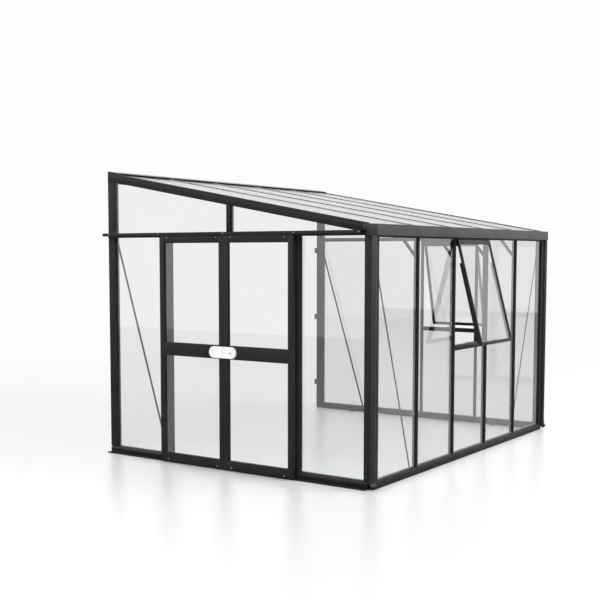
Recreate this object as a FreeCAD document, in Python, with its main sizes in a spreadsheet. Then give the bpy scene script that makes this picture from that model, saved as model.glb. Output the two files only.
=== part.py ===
import FreeCAD, Part
import os
import re
import Sketcher

# Lean-to greenhouse: aluminium frame, glass walls, twin-wall roof panels,
# a pair of sliding doors in one gable and two top-hung windows.
# +Z is up. The doors are in the gable at -X, the long glazed side faces -Y
# and the open back at +Y stands against a wall. The origin is on the floor
# under the middle of the whole object.

os.makedirs("parts", exist_ok=True)
doc = FreeCAD.newDocument("lean_to_greenhouse")
sheet = doc.addObject("Spreadsheet::Sheet", "Sizes")

# Driving dimensions in millimetres and degrees.
sizes = {
    # overall frame, outer face to outer face
    "frame_length": 3374,
    "frame_depth": 2690,
    "eave_height": 1900,
    "roof_lift": 84,
    "roof_pitch": 10.2,
    "bay_module": 651,
    "gable_middle": 1357,
    "gable_module": 628,
    "jamb_offset": 659,
    # shared section of the bars and posts
    "bar_depth": 51,
    "bar_width": 24,
    "web_thick": 8,
    "flange_thick": 3,
    "rib_thick": 4,
    "wall_thick": 3,
    "shell": 2,
    "cap_set": 2,
    "cap_bevel": 3,
    "post_face": 79,
    "jamb_width": 62,
    "gable_bar_width": 40,
    # glass and the rebates that hold it
    "glass_set": 14,
    "glass_thick": 4,
    "glass_gap": 0.3,
    "groove_depth": 12,
    "edge_gap": 1.5,
    "bar_edge_gap": 5,
    # sill on the floor
    "base_depth": 51,
    "base_height": 62,
    "base_lip": 42,
    "lip_fold": 2,
    "lip_slope": 5,
    # eave rail, gutter and downpipes
    "eave_rail": 12,
    "eave_groove": 8,
    "gutter_height": 84,
    "gutter_out": 28,
    "gutter_in": 47,
    "gutter_end": 20,
    "pipe_radius": 20,
    "pipe_wall": 2,
    "pipe_out": 3,
    "pipe_foot": 48,
    "pipe_gap": 0.3,
    "sleeve_gap": 0.2,
    "spout_drop": 24,
    "spout_reach": 14,
    "collar_wall": 2.5,
    "collar_height": 28,
    "cheek_gap": 2,
    "flat_side": 100,
    "flat_height": 200,
    # gable transoms and rafters
    "transom_low": 1901,
    "transom_height": 37,
    "rafter_height": 75,
    "upper_pane_set": 10,
    # roof glazing
    "panel_thick": 10,
    "panel_drop": 8,
    "panel_skin": 0.8,
    "panel_cell": 28,
    "panel_overhang": 27,
    "roof_cap_height": 6,
    "roof_cap_width": 24,
    "roof_flange_width": 30,
    "roof_bar_depth": 60,
    "plate_depth": 40,
    "plate_drop": 95,
    "plate_hole_shift": 60,
    "flashing_width": 95,
    "flashing_rise": 11,
    "flashing_lip": 9,
    "wall_gap": 12,
    # braces
    "brace_width": 20,
    "brace_thick": 3,
    "brace_foot": 12,
    "brace_shift": 34,
    "brace_corner": 65,
    "brace_corner_drop": 42,
    "brace_wall": 50,
    "knee_reach": 240,
    "knee_drop": 175,
    "knee_half": 17,
    "knee_foot": 22,
    "knee_bury": 40,
    "knee_thick": 4,
    "knee_gap": 2,
    # window openings
    "hinge_height": 1884,
    "hinge_out": 5,
    "hinge_radius": 4,
    "hook_radius": 7,
    "head_drop": 24,
    "running_gap": 0.05,
    "bead_fin": 1,
    "sill_low": 945,
    "sill_height": 42,
    "sill_fall": 10,
    "sill_slope": 12,
    "opening_angle": 14.6,
    # sash
    "sash_lap": 6,
    "hook_inset": 8,
    "sash_drop": 917,
    "sash_outer": 12,
    "sash_inner": 6.5,
    "sash_stile": 22,
    "sash_top_rail": 40,
    "sash_bottom_rail": 28,
    "sash_glass": 6,
    "sash_groove": 9,
    "leg_set": 8,
    "leg_thick": 3,
    "leg_depth": 22,
    "leg_start": 200,
    # casement stay
    "stay_out": 14,
    "stay_rise": 35,
    "stay_width": 12,
    "stay_thick": 3,
    "stay_eye": 5,
    "stay_pin": 2.5,
    "stay_tail": 25,
    "stay_rest": 1.4,
    "peg_set": 30,
    "peg_height": 4,
    "peg_radius": 5,
    "cheek_thick": 3,
    # sliding doors
    "door_face": 68,
    "door_thick": 32,
    "door_width": 678,
    "leaf_gap": 2,
    "door_foot": 16,
    "door_top": 1912,
    "stile_width": 46,
    "top_rail": 60,
    "bottom_rail": 72,
    "mid_rail_low": 914,
    "mid_rail_height": 110,
    "door_glass": 54,
    # handle and lock knob
    "handle_half": 135,
    "handle_height": 93,
    "handle_thick": 22,
    "handle_round": 5,
    "handle_rim": 8,
    "handle_recess": 2,
    "knob_radius": 11,
    "knob_disc": 3,
    "knob_grip": 7,
    "grip_half": 2.5,
    "grip_set": 1,
    "knob_place": 82,
    "spindle_radius": 4,
    "spindle_length": 9,
    # tracks, hangers and rollers
    "track_reach": 75,
    "track_cover": 26,
    "track_start": 72,
    "ledge_reach": 26,
    "ledge_low": 1907,
    "roller_radius": 10,
    "roller_width": 12,
    "roller_gap": 0.3,
    "roller_set": 8,
    "axle_radius": 3,
    "hanger_inset": 120,
    "hanger_width": 40,
    "hanger_drop": 58,
    "hanger_thick": 3,
    "hanger_top": 8,
    "guide_reach": 40,
    "guide_lip": 14,
    "guide_thick": 4,
    "guide_lift": 1,
    "guide_start": 45,
    "guide_inset": 90,
    "guide_width": 30,
    "guide_block": 9,
    "guide_top": 40,
    # screws, brackets and anchors
    "screw_head": 5,
    "screw_rise": 3,
    "screw_foot": 14,
    "screw_top": 18,
    "screw_inner": 28,
    "screw_outer": 35,
    "track_screw_start": 14,
    "track_screw_gap": 10,
    "bolt_head": 5.5,
    "bolt_rise": 4,
    "mullion_bolt_head": 4,
    "mullion_bolt_low": 220,
    "mullion_bolt_middle": 950,
    "mullion_bolt_high": 1680,
    "knee_bolt_set": 10,
    "bracket_leg": 44,
    "bracket_height": 60,
    "bracket_thick": 4,
    "bracket_low": 300,
    "bracket_middle": 1050,
    "bracket_high": 1800,
    "bracket_hole_share": 0.6,
    "wall_hole": 4.5,
    "anchor_leg": 50,
    "anchor_width": 60,
    "anchor_rise": 45,
    "anchor_thick": 4,
    "anchor_inset": 500,
    "floor_hole": 5.5,
    "floor_hole_shift": 2,
}
for row, (word, number) in enumerate(sizes.items(), 1):
    sheet.set("A%d" % row, str(number))
    sheet.setAlias("A%d" % row, word)
doc.recompute()


def bound(text):
    """Turn the size names in a formula into references to the sheet."""
    return re.sub(
        r"[a-z_]+",
        lambda word: "Sizes." + word.group() if word.group() in sizes else word.group(),
        str(text),
    )


def value(text):
    result = sheet.evalExpression(bound(text))
    return float(getattr(result, "Value", result))


# Sketches, pads and pockets, all bound to the sheet.


def base_plane(body, plane):
    return [f for f in body.Origin.OriginFeatures if f.Role == plane + "_Plane"][0]


def new_sketch(body, plane, offset):
    sketch = body.newObject("Sketcher::SketchObject", body.Name + "_outline")
    sketch.AttachmentSupport = [(base_plane(body, plane), "")]
    sketch.MapMode = "FlatFace"
    sketch.setExpression("AttachmentOffset.Base.z", bound(offset))
    return sketch


def fix_point(sketch, line, end, across, up):
    for kind, text in (("DistanceX", across), ("DistanceY", up)):
        rule = Sketcher.Constraint(kind, -1, 1, line, end, value(text))
        number = sketch.addConstraint(rule)
        sketch.setExpression("Constraints[%d]" % number, bound(text))


def draw_loop(sketch, points):
    first = sketch.GeometryCount
    count = len(points)
    spots = [FreeCAD.Vector(value(a), value(b), 0) for a, b in points]
    for i in range(count):
        sketch.addGeometry(Part.LineSegment(spots[i], spots[(i + 1) % count]))
    for i, (across, up) in enumerate(points):
        after = first + (i + 1) % count
        sketch.addConstraint(Sketcher.Constraint("Coincident", first + i, 2, after, 1))
        fix_point(sketch, first + i, 1, across, up)


def draw_circle(sketch, across, up, radius):
    spot = FreeCAD.Vector(value(across), value(up), 0)
    ring = sketch.addGeometry(Part.Circle(spot, FreeCAD.Vector(0, 0, 1), value(radius)))
    fix_point(sketch, ring, 3, across, up)
    number = sketch.addConstraint(Sketcher.Constraint("Radius", ring, value(radius)))
    sketch.setExpression("Constraints[%d]" % number, bound(radius))


def draw(sketch, shapes):
    for shape in shapes:
        if len(shape) == 3 and not isinstance(shape[0], tuple):
            draw_circle(sketch, *shape)
        else:
            draw_loop(sketch, shape)


def pad(body, plane, shapes, start, stop):
    """Add material between start and stop along the plane's third axis."""
    offset = "-(%s)" % stop if plane == "XZ" else start
    sketch = new_sketch(body, plane, offset)
    draw(sketch, shapes)
    feature = body.newObject("PartDesign::Pad", body.Name + "_pad")
    feature.Profile = sketch
    feature.setExpression("Length", bound("(%s) - (%s)" % (stop, start)))
    return feature


def pocket(body, plane, shapes, start, stop):
    """Cut material away between start and stop along the plane's third axis."""
    offset = "-(%s)" % start if plane == "XZ" else stop
    sketch = new_sketch(body, plane, offset)
    draw(sketch, shapes)
    feature = body.newObject("PartDesign::Pocket", body.Name + "_cut")
    feature.Profile = sketch
    feature.setExpression("Length", bound("(%s) - (%s)" % (stop, start)))
    return feature


def repeat(body, features, axis, length, count):
    """Repeat features in a straight row."""
    pattern = body.newObject("PartDesign::LinearPattern", body.Name + "_row")
    pattern.Originals = features
    direction = [f for f in body.Origin.OriginFeatures if f.Role == axis + "_Axis"][0]
    pattern.Direction = (direction, [""])
    pattern.setExpression("Length", bound(length))
    pattern.Occurrences = count
    body.Tip = pattern
    return pattern


def extrude(name, plane, shapes, start, stop):
    body = doc.addObject("PartDesign::Body", name)
    pad(body, plane, shapes, start, stop)
    return body


def rectangle(low_a, low_b, high_a, high_b):
    return [(low_a, low_b), (high_a, low_b), (high_a, high_b), (low_a, high_b)]


def rod(name, axis, radius, across, up, start, stop):
    """A round bar along X, Y or Z between start and stop."""
    plane = {"X": "YZ", "Y": "XZ", "Z": "XY"}[axis]
    return extrude(name, plane, [(across, up, radius)], start, stop)


def place(thing, x="0", y="0", z="0", axis=(0, 0, 1), turn="0"):
    spin = FreeCAD.Rotation(FreeCAD.Vector(*axis), 1)
    thing.Placement = FreeCAD.Placement(FreeCAD.Vector(), spin)
    thing.setExpression("Placement.Base.x", bound(x))
    thing.setExpression("Placement.Base.y", bound(y))
    thing.setExpression("Placement.Base.z", bound(z))
    thing.setExpression("Placement.Rotation.Angle", bound(turn))
    return thing


def group(name, pieces):
    compound = doc.addObject("Part::Compound", name)
    compound.Links = pieces
    return compound


# Derived lines. A depth is measured inwards from the outer face of a wall.
glass_front = "(glass_set - glass_gap)"
glass_back = "(glass_set + glass_thick + glass_gap)"
first_bar = "(frame_length / 2 - 1.5 * bay_module)"
eave_seat = "(eave_height - eave_rail)"
transom_top = "(transom_low + transom_height)"
pane_foot = "(base_height - groove_depth + edge_gap)"
roof_ledge = "((panel_drop + panel_thick + glass_gap) / cos(roof_pitch))"
sill_top = "(sill_low + sill_height)"


def front_bar(number):
    return "(%s + %d * bay_module)" % (first_bar, number)


def gable_bar(number):
    return "(gable_middle + %d * gable_module)" % number


def roof_top(y):
    return "(eave_height + roof_lift + (%s) * tan(roof_pitch))" % y


def rafter_under(y):
    return "(%s - rafter_height)" % roof_top(y)


# The whole object's box, for the origin under its middle.
sash_reach = (
    "(hinge_out + sash_outer * cos(opening_angle) + sash_drop * sin(opening_angle))"
)
door_reach = "(door_face + handle_thick - handle_recess + knob_disc + knob_grip)"
origin_x = "((frame_length + %s - %s) / 2)" % (sash_reach, door_reach)
origin_y = "((frame_depth - %s) / 2)" % sash_reach

nodes = []


def node(name, pieces):
    """A named sub-part, moved from the frame's corner to the model's origin."""
    compound = group(name + "_node", pieces)
    place(compound, "-" + origin_x, "-" + origin_y, "0")
    compound.Label = name
    nodes.append(compound)
    return compound


# Three glazed walls share their sections. In each, "along" runs along the
# wall, "depth" inwards from the outer face and z upwards.


def inward(side, depth):
    return "(frame_length - (%s))" % depth if side == "far" else depth


def depth_span(side, front, back):
    if side == "far":
        return inward(side, back), inward(side, front)
    return front, back


def vertical(name, side, outline, low, high):
    """A bar standing in a wall: its outline is given as (along, depth)."""
    if side == "front":
        points = [(a, d) for a, d in outline]
    else:
        points = [(inward(side, d), a) for a, d in outline]
    return extrude(name, "XY", [points], low, high)


def level(name, side, outlines, start, stop):
    """A rail lying along a wall: its outlines are given as (depth, z)."""
    if side == "front":
        return extrude(name, "YZ", outlines, start, stop)
    turned = [[(inward(side, d), z) for d, z in outline] for outline in outlines]
    return extrude(name, "XZ", turned, start, stop)


def upright(name, side, outline, front, back):
    """A plate in the wall's plane: its outline is given as (along, z)."""
    start, stop = depth_span(side, front, back)
    plane = "XZ" if side == "front" else "YZ"
    return extrude(name, plane, [outline], start, stop)


def rebated(low, high, front, back, at_low=True, at_high=True, groove="groove_depth"):
    """Section of a bar with glass grooves in its edges, as (edge axis, depth)."""
    points = [(low, front), (high, front)]
    if at_high:
        floor = "(%s) - %s" % (high, groove)
        points += [(high, glass_front), (floor, glass_front)]
        points += [(floor, glass_back), (high, glass_back)]
    points += [(high, back), (low, back)]
    if at_low:
        floor = "(%s) + %s" % (low, groove)
        points += [(low, glass_back), (floor, glass_back)]
        points += [(floor, glass_front), (low, glass_front)]
    return points


def swapped(points):
    return [(b, a) for a, b in points]


# Base rails: folded sills on the floor with a sloped outer lip and a
# groove that takes the foot of each pane. The front one runs full length
# and its ends are bevelled like the corner posts.

bevel = "(sqrt(2) * (pipe_radius + pipe_gap) - 2 * pipe_out)"
base_outline = [
    ("0", "0"),
    ("0", "base_lip"),
    ("%s - wall_thick / 2" % glass_front, "base_height"),
    (glass_front, "base_height"),
    (glass_front, "base_height - groove_depth"),
    (glass_back, "base_height - groove_depth"),
    (glass_back, "base_height"),
    ("base_depth", "base_height"),
    ("base_depth", "0"),
]
base_roof = "base_height - groove_depth - wall_thick"
base_hollow = [
    ("wall_thick", "wall_thick"),
    ("wall_thick", "base_lip - lip_fold"),
    ("wall_thick + lip_slope", base_roof),
    ("base_depth - wall_thick", base_roof),
    ("base_depth - wall_thick", "wall_thick"),
]


def bevel_ends(body, low, high):
    near = [("-1", "-1"), (bevel + " + 1", "-1"), ("-1", bevel + " + 1")]
    away = [("frame_length - (%s)" % a, b) for a, b in near]
    pocket(body, "XY", [near, away], low, high)
    return body


base_front = level("base_front_rail", "front", [base_outline, base_hollow], "0", "frame_length")
bevel_ends(base_front, "-1", "base_height + 1")
node("base_front", [base_front])
for side in ("door", "far"):
    rail = level(
        "base_rail_" + side, side, [base_outline, base_hollow], "base_depth", "frame_depth"
    )
    node("base_%s_end" % side, [rail])

# Corner posts: angle section, bevelled outside to seat the downpipe, with
# a glass groove in each leg and a hollow core.

fin = "(%s + wall_thick)" % glass_back
leg_in = "(bar_depth - wall_thick)"
post_outline = [
    (bevel, "0"),
    ("post_face", "0"),
    ("post_face", glass_front),
    ("post_face - groove_depth", glass_front),
    ("post_face - groove_depth", glass_back),
    ("post_face", glass_back),
    ("post_face", "bar_depth"),
    ("bar_depth", "bar_depth"),
    ("bar_depth", "post_face"),
    (glass_back, "post_face"),
    (glass_back, "post_face - groove_depth"),
    (glass_front, "post_face - groove_depth"),
    (glass_front, "post_face"),
    ("0", "post_face"),
    ("0", bevel),
]
post_core = rectangle(fin, fin, leg_in, leg_in)


def mirrored(points):
    return [("frame_length - (%s)" % a, b) for a, b in points]


posts = [
    extrude("corner_post_door", "XY", [post_outline, post_core], "base_height", eave_seat),
    extrude(
        "corner_post_far",
        "XY",
        [mirrored(post_outline), mirrored(post_core)],
        "base_height",
        eave_seat,
    ),
]
node("corner_posts", posts)

# Wall posts: box section with one glass groove, cut off under the rafter.

wall_post_top = rafter_under("frame_depth - post_face")
wall_posts = []
for side in ("door", "far"):
    outline = rebated(
        "frame_depth - post_face", "frame_depth", "0", "bar_depth", at_high=False
    )
    post = vertical("wall_post_" + side, side, outline, "base_height", wall_post_top)
    low, high = depth_span(side, fin, leg_in)
    core = rectangle(
        low,
        "frame_depth - post_face + groove_depth + wall_thick",
        high,
        "frame_depth - wall_thick",
    )
    pocket(post, "XY", [core], "base_height - 1", wall_post_top + " + 1")
    wall_posts.append(post)
node("wall_posts", wall_posts)


# Mullions: T bars behind the glass with a rib between the panes, and a
# bevelled cap strip clipped on from outside.


def tee_bar(middle, back="bar_depth"):
    flange = "(%s + flange_thick)" % glass_back
    half = [
        ("rib_thick / 2", glass_front),
        ("rib_thick / 2", glass_back),
        ("bar_width / 2", glass_back),
        ("bar_width / 2", flange),
        ("web_thick / 2", flange),
        ("web_thick / 2", back),
    ]
    right = [("%s + %s" % (middle, a), d) for a, d in half]
    left = [("%s - %s" % (middle, a), d) for a, d in reversed(half)]
    return right + left


def cap_strip(middle):
    half = [
        ("bar_width / 2", glass_front),
        ("bar_width / 2", "cap_set + cap_bevel"),
        ("bar_width / 2 - cap_bevel", "cap_set"),
    ]
    right = [("%s + %s" % (middle, a), d) for a, d in half]
    left = [("%s - (%s)" % (middle, a), d) for a, d in reversed(half)]
    return right + left


mullions = []
caps = []
for number in range(4):
    middle = front_bar(number)
    bar = vertical(
        "front_mullion_%d" % number, "front", tee_bar(middle), "base_height", eave_seat
    )
    cap = vertical(
        "front_cap_%d" % number, "front", cap_strip(middle), "base_height", eave_seat
    )
    mullions.append(bar)
    caps.append(cap)
node("front_mullions", mullions)

far_mullions = []
for number in (-1, 0, 1):
    middle = gable_bar(number)
    tag = str(number + 1)
    bar = vertical(
        "far_mullion_" + tag, "far", tee_bar(middle), "base_height", "transom_low"
    )
    cap = vertical(
        "far_cap_" + tag, "far", cap_strip(middle), "base_height", "transom_low"
    )
    far_mullions.append(bar)
    caps.append(cap)
node("far_end_mullions", far_mullions)
node("mullion_caps", caps)

# Door jambs behind the sliding leaves, each holding one side pane.

jambs = []
for number in (-1, 1):
    middle = "(gable_middle + %d * jamb_offset)" % number
    outline = rebated(
        "%s - jamb_width / 2" % middle,
        "%s + jamb_width / 2" % middle,
        "0",
        "bar_depth",
        at_low=number < 0,
        at_high=number > 0,
    )
    jamb = vertical("door_jamb_%d" % (number + 1), "door", outline, "base_height", "transom_low")
    jambs.append(jamb)
node("door_jambs", jambs)

# Gable transoms with the short bar above each one.

transoms = []
upper_bars = []
for side in ("door", "far"):
    outline = swapped(rebated("transom_low", transom_top, "0", "bar_depth"))
    transoms.append(
        level(
            "transom_" + side,
            side,
            [outline],
            "post_face",
            "frame_depth - post_face",
        )
    )
    left = "(gable_middle - gable_bar_width / 2)"
    right = "(gable_middle + gable_bar_width / 2)"
    outline = [
        (left, transom_top),
        (right, transom_top),
        (right, rafter_under(right)),
        (left, rafter_under(left)),
    ]
    bar = upright("upper_bar_" + side, side, outline, "0", "bar_depth")
    start, stop = depth_span(side, glass_front, glass_back)
    above = "(%s + 1)" % rafter_under(right)
    pocket(
        bar,
        "YZ",
        [
            rectangle(left + " - 1", transom_top + " - 1", left + " + groove_depth", above),
            rectangle(right + " - groove_depth", transom_top + " - 1", right + " + 1", above),
        ],
        start,
        stop,
    )
    upper_bars.append(bar)
node("gable_transoms", transoms)
node("gable_upper_mullions", upper_bars)

# Rafters: an outer wall beside the roof panel, a ledge under it and a
# groove below for the gable glass. Each has a foot on its corner post.

foot_end = (
    "max(post_face + 1; (%s + rafter_height - eave_height - roof_lift) / tan(roof_pitch))"
    % transom_top
)
wall_foot = "frame_depth - post_face"
rafter_end = "(frame_depth - wall_thick - glass_gap)"


def rafter_outline(top, notched):
    points = [
        ("gutter_in", eave_seat),
        ("post_face", eave_seat),
        ("post_face", transom_top),
        (foot_end, transom_top),
        (wall_foot, rafter_under(wall_foot)),
        ("frame_depth", rafter_under(wall_foot)),
        ("frame_depth", "%s - %s - glass_gap" % (roof_top("frame_depth"), roof_ledge)),
    ]
    if notched:
        points.append(
            (rafter_end, "%s - %s - glass_gap" % (roof_top("frame_depth"), roof_ledge))
        )
        points.append((rafter_end, roof_top(rafter_end)))
    points.append(("gutter_in", "%s - %s" % (roof_top("gutter_in"), top)))
    return points


rafters = []
for side in ("door", "far"):
    outer = rafter_outline("0", True)
    rafter = upright("rafter_" + side, side, outer, "0", glass_front)
    middle = [
        ("gutter_in", "%s + groove_depth" % rafter_under("gutter_in")),
        ("frame_depth", "%s + groove_depth" % rafter_under("frame_depth")),
        ("frame_depth", "%s - %s - glass_gap" % (roof_top("frame_depth"), roof_ledge)),
        ("gutter_in", "%s - %s" % (roof_top("gutter_in"), roof_ledge)),
    ]
    pad(rafter, "YZ", [middle], *depth_span(side, glass_front, glass_back))
    inner = rafter_outline(roof_ledge, False)
    pad(rafter, "YZ", [inner], *depth_span(side, glass_back, "bar_depth"))
    rafters.append(rafter)
node("rafters", rafters)

# Roof parts are drawn flat, with y up the slope and z square to it, and
# then turned to the pitch about the line where the rafter top meets the
# front face.


def on_roof(name, pieces):
    compound = group(name, pieces)
    place(compound, "0", "0", roof_top("0"), (1, 0, 0), "roof_pitch")
    return compound


def up_slope(y):
    return "((%s) / cos(roof_pitch))" % y


bar_start = up_slope("gutter_in + glass_gap")
bar_stop = up_slope(
    "frame_depth - plate_depth - glass_gap - roof_bar_depth * sin(roof_pitch)"
)
panel_start = up_slope("gutter_in - panel_overhang")
panel_stop = up_slope("frame_depth - wall_gap - panel_thick * sin(roof_pitch)")
panel_under = "(-panel_drop - panel_thick)"

roof_bars = []
roof_caps = []
for number in range(4):
    middle = front_bar(number)
    half = [
        ("rib_thick / 2", "-panel_drop"),
        ("rib_thick / 2", panel_under + " - glass_gap"),
        ("roof_flange_width / 2", panel_under + " - glass_gap"),
        ("roof_flange_width / 2", panel_under + " - glass_gap - flange_thick"),
        ("web_thick / 2", panel_under + " - glass_gap - flange_thick"),
        ("web_thick / 2", "-roof_bar_depth"),
    ]
    right = [("%s + %s" % (middle, a), n) for a, n in half]
    left = [("%s - %s" % (middle, a), n) for a, n in reversed(half)]
    roof_bars.append(
        extrude("roof_bar_%d" % number, "XZ", [right + left], bar_start, bar_stop)
    )
    half = [
        ("roof_cap_width / 2", "-panel_drop"),
        ("roof_cap_width / 2", "-panel_drop + roof_cap_height - cap_bevel"),
        ("roof_cap_width / 2 - cap_bevel", "-panel_drop + roof_cap_height"),
    ]
    right = [("%s + %s" % (middle, a), n) for a, n in half]
    left = [("%s - (%s)" % (middle, a), n) for a, n in reversed(half)]
    roof_caps.append(
        extrude("roof_cap_%d" % number, "XZ", [right + left], panel_start, panel_stop)
    )
for tag, flip in (("door", False), ("far", True)):
    outline = rectangle(
        "glass_set", "-panel_drop", "glass_set + roof_cap_width", "-panel_drop + cap_bevel"
    )
    if flip:
        outline = mirrored(outline)
    roof_caps.append(
        extrude("rafter_cap_" + tag, "XZ", [outline], bar_start, panel_stop)
    )
node("roof_bars", [on_roof("roof_bar_set", roof_bars)])
node("roof_bar_caps", [on_roof("roof_cap_set", roof_caps)])

# Roof panels: twin-wall sheets with a row of cells up the slope.

panel_cells = 20
panels = []
panel_edges = ["glass_set"]
for number in range(4):
    panel_edges += [
        "%s - bar_edge_gap" % front_bar(number),
        "%s + bar_edge_gap" % front_bar(number),
    ]
panel_edges.append("frame_length - glass_set")
for number in range(5):
    left, right = panel_edges[2 * number], panel_edges[2 * number + 1]
    body = extrude(
        "roof_panel_%d" % number,
        "XZ",
        [rectangle(left, panel_under, right, "-panel_drop")],
        panel_start,
        panel_stop,
    )
    margin = "panel_skin * 2"
    cell = rectangle(
        "%s + %s" % (left, margin),
        panel_under + " + panel_skin",
        "%s + %s + panel_cell" % (left, margin),
        "-panel_drop - panel_skin",
    )
    cut = pocket(body, "XZ", [cell], panel_start + " - 1", panel_stop + " + 1")
    span = "(%s) - (%s) - 2 * (%s) - panel_cell" % (right, left, margin)
    repeat(body, [cut], "X", span, panel_cells)
    panels.append(body)
node("roof_panels", [on_roof("roof_panel_set", panels)])

# Wall plate: hollow bar on the wall that carries the bars' upper ends.

plate_front = "(frame_depth - plate_depth)"
plate_low = "(%s - plate_drop)" % roof_top("frame_depth")
plate_outline = [
    (plate_front, plate_low),
    ("frame_depth", plate_low),
    ("frame_depth", "%s - %s" % (roof_top("frame_depth"), roof_ledge)),
    (plate_front, "%s - %s" % (roof_top(plate_front), roof_ledge)),
]
plate_core = rectangle(
    plate_front + " + wall_thick",
    plate_low + " + wall_thick",
    "frame_depth - wall_thick",
    "%s - %s - wall_thick" % (roof_top(plate_front), roof_ledge),
)
plate = extrude(
    "wall_plate_bar",
    "YZ",
    [plate_outline, plate_core],
    "bar_depth",
    "frame_length - bar_depth",
)
plate_holes = []
for number in range(4):
    plate_holes.append(
        (front_bar(number) + " + plate_hole_shift", plate_low + " + plate_drop / 3", "wall_hole")
    )
pocket(plate, "XZ", plate_holes, plate_front + " - 1", "frame_depth + 1")
node("wall_plate", [plate])

# Ridge flashing: a folded sheet over the upper ends of the panels.

lip_line = "(frame_depth - flashing_width)"
flashing_outline = [
    (lip_line, roof_top(lip_line) + " + glass_gap"),
    (lip_line, roof_top(lip_line) + " + flashing_lip"),
    ("frame_depth", roof_top("frame_depth") + " + flashing_rise"),
    ("frame_depth", "%s - %s" % (roof_top("frame_depth"), roof_ledge)),
    ("frame_depth - wall_thick", "%s - %s" % (roof_top("frame_depth"), roof_ledge)),
    (
        "frame_depth - wall_thick",
        roof_top("frame_depth") + " + flashing_rise - wall_thick - 1",
    ),
    (
        lip_line + " + wall_thick",
        roof_top(lip_line) + " + flashing_lip - wall_thick + 1",
    ),
    (lip_line + " + wall_thick", roof_top(lip_line + " + wall_thick") + " + glass_gap"),
]
flashing = extrude("ridge_flashing_sheet", "YZ", [flashing_outline], "0", "frame_length")
node("ridge_flashing", [flashing])

# Eave rail on the posts and mullions, with the groove for the pane tops.

rail_outline = [
    ("0", eave_seat),
    ("0", "eave_height"),
    ("gutter_in", "eave_height"),
    ("gutter_in", eave_seat),
    (glass_back, eave_seat),
    (glass_back, eave_seat + " + eave_groove"),
    (glass_front, eave_seat + " + eave_groove"),
    (glass_front, eave_seat),
]
eave = extrude("eave_rail_bar", "YZ", [rail_outline], "0", "frame_length")
bevel_ends(eave, eave_seat + " - 1", "eave_height + 1")
node("eave_rail", [eave])

# Gutter: open trough on the eave rail. Its back wall holds the panels.

gutter_top = "(eave_height + gutter_height)"
gutter_floor = "(eave_height + wall_thick)"
gutter_back = "(%s - %s - glass_gap)" % (roof_top("gutter_in - wall_thick"), roof_ledge)
gutter_outline = [
    ("-gutter_out", "eave_height"),
    ("-gutter_out", gutter_top),
    ("-gutter_out + wall_thick", gutter_top),
    ("-gutter_out + wall_thick", gutter_floor),
    ("gutter_in - wall_thick", gutter_floor),
    ("gutter_in - wall_thick", gutter_back),
    ("gutter_in", gutter_back),
    ("gutter_in", "eave_height"),
]
gutter = extrude(
    "gutter_trough", "YZ", [gutter_outline], "gutter_end", "frame_length - gutter_end"
)
node("gutter", [gutter])


# Gutter end pieces: moulded boxes with a round outer corner, closed at
# the end and open to the gutter, with a hole for the downpipe.


def edges_where(body, test):
    """Names of the edges of a body that pass a test."""
    doc.recompute()
    names = []
    for number, edge in enumerate(body.Shape.Edges, 1):
        if test(edge.BoundBox):
            names.append("Edge%d" % number)
    return names


def round_edges(body, base, names, radius):
    fillet = body.newObject("PartDesign::Fillet", body.Name + "_round")
    fillet.Base = (base, names)
    fillet.setExpression("Radius", bound(radius))
    return fillet


end_pieces = []
for tag in ("door", "far"):
    outer = rectangle("-gutter_out", "-gutter_out", "gutter_end", "gutter_in")
    front_wall = "-gutter_out + wall_thick"
    back_wall = "gutter_in - wall_thick"
    cavities = [
        rectangle("-pipe_out", front_wall, "gutter_end + 1", back_wall),
        rectangle(front_wall, "-pipe_out", "-pipe_out + 1", back_wall),
    ]
    cheek = rectangle("-gutter_out", "gutter_in", "-glass_gap", "post_face")
    hole_x = "-pipe_out"
    if tag == "far":
        outer = mirrored(outer)
        cavities = [mirrored(cavity) for cavity in cavities]
        cheek = mirrored(cheek)
        hole_x = "frame_length + pipe_out"
    cavities.append((hole_x, "-pipe_out", "gutter_out - pipe_out - wall_thick"))
    piece = doc.addObject("PartDesign::Body", "gutter_end_" + tag)
    block = pad(piece, "XY", [outer], "eave_height", gutter_top)
    corner = value("-gutter_out") if tag == "door" else value("frame_length + gutter_out")
    front = value("-gutter_out")
    standing = edges_where(
        piece,
        lambda box: box.ZLength > 1
        and abs(box.XMin - corner) < 0.01
        and abs(box.XMax - corner) < 0.01
        and abs(box.YMax - front) < 0.01,
    )
    round_edges(piece, block, standing, "gutter_out - pipe_out")
    for cavity in cavities:
        pocket(piece, "XY", [cavity], gutter_floor, gutter_top + " + 1")
    pad(piece, "XY", [cheek], "%s + cheek_gap" % transom_top, gutter_top)
    notch = rectangle(
        glass_front, "gutter_in - wall_thick - 1", "gutter_end + 1", "gutter_in + 1"
    )
    if tag == "far":
        notch = mirrored(notch)
    pocket(piece, "XY", [notch], gutter_back, gutter_top + " + 1")
    hole = [(hole_x, "-pipe_out", "pipe_radius + sleeve_gap")]
    pocket(piece, "XY", hole, "eave_height - 1", gutter_floor + " + 1")
    end_pieces.append(piece)
node("gutter_end_pieces", end_pieces)

# Downpipes on the bevelled corners, from the end piece down to the spout.

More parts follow.
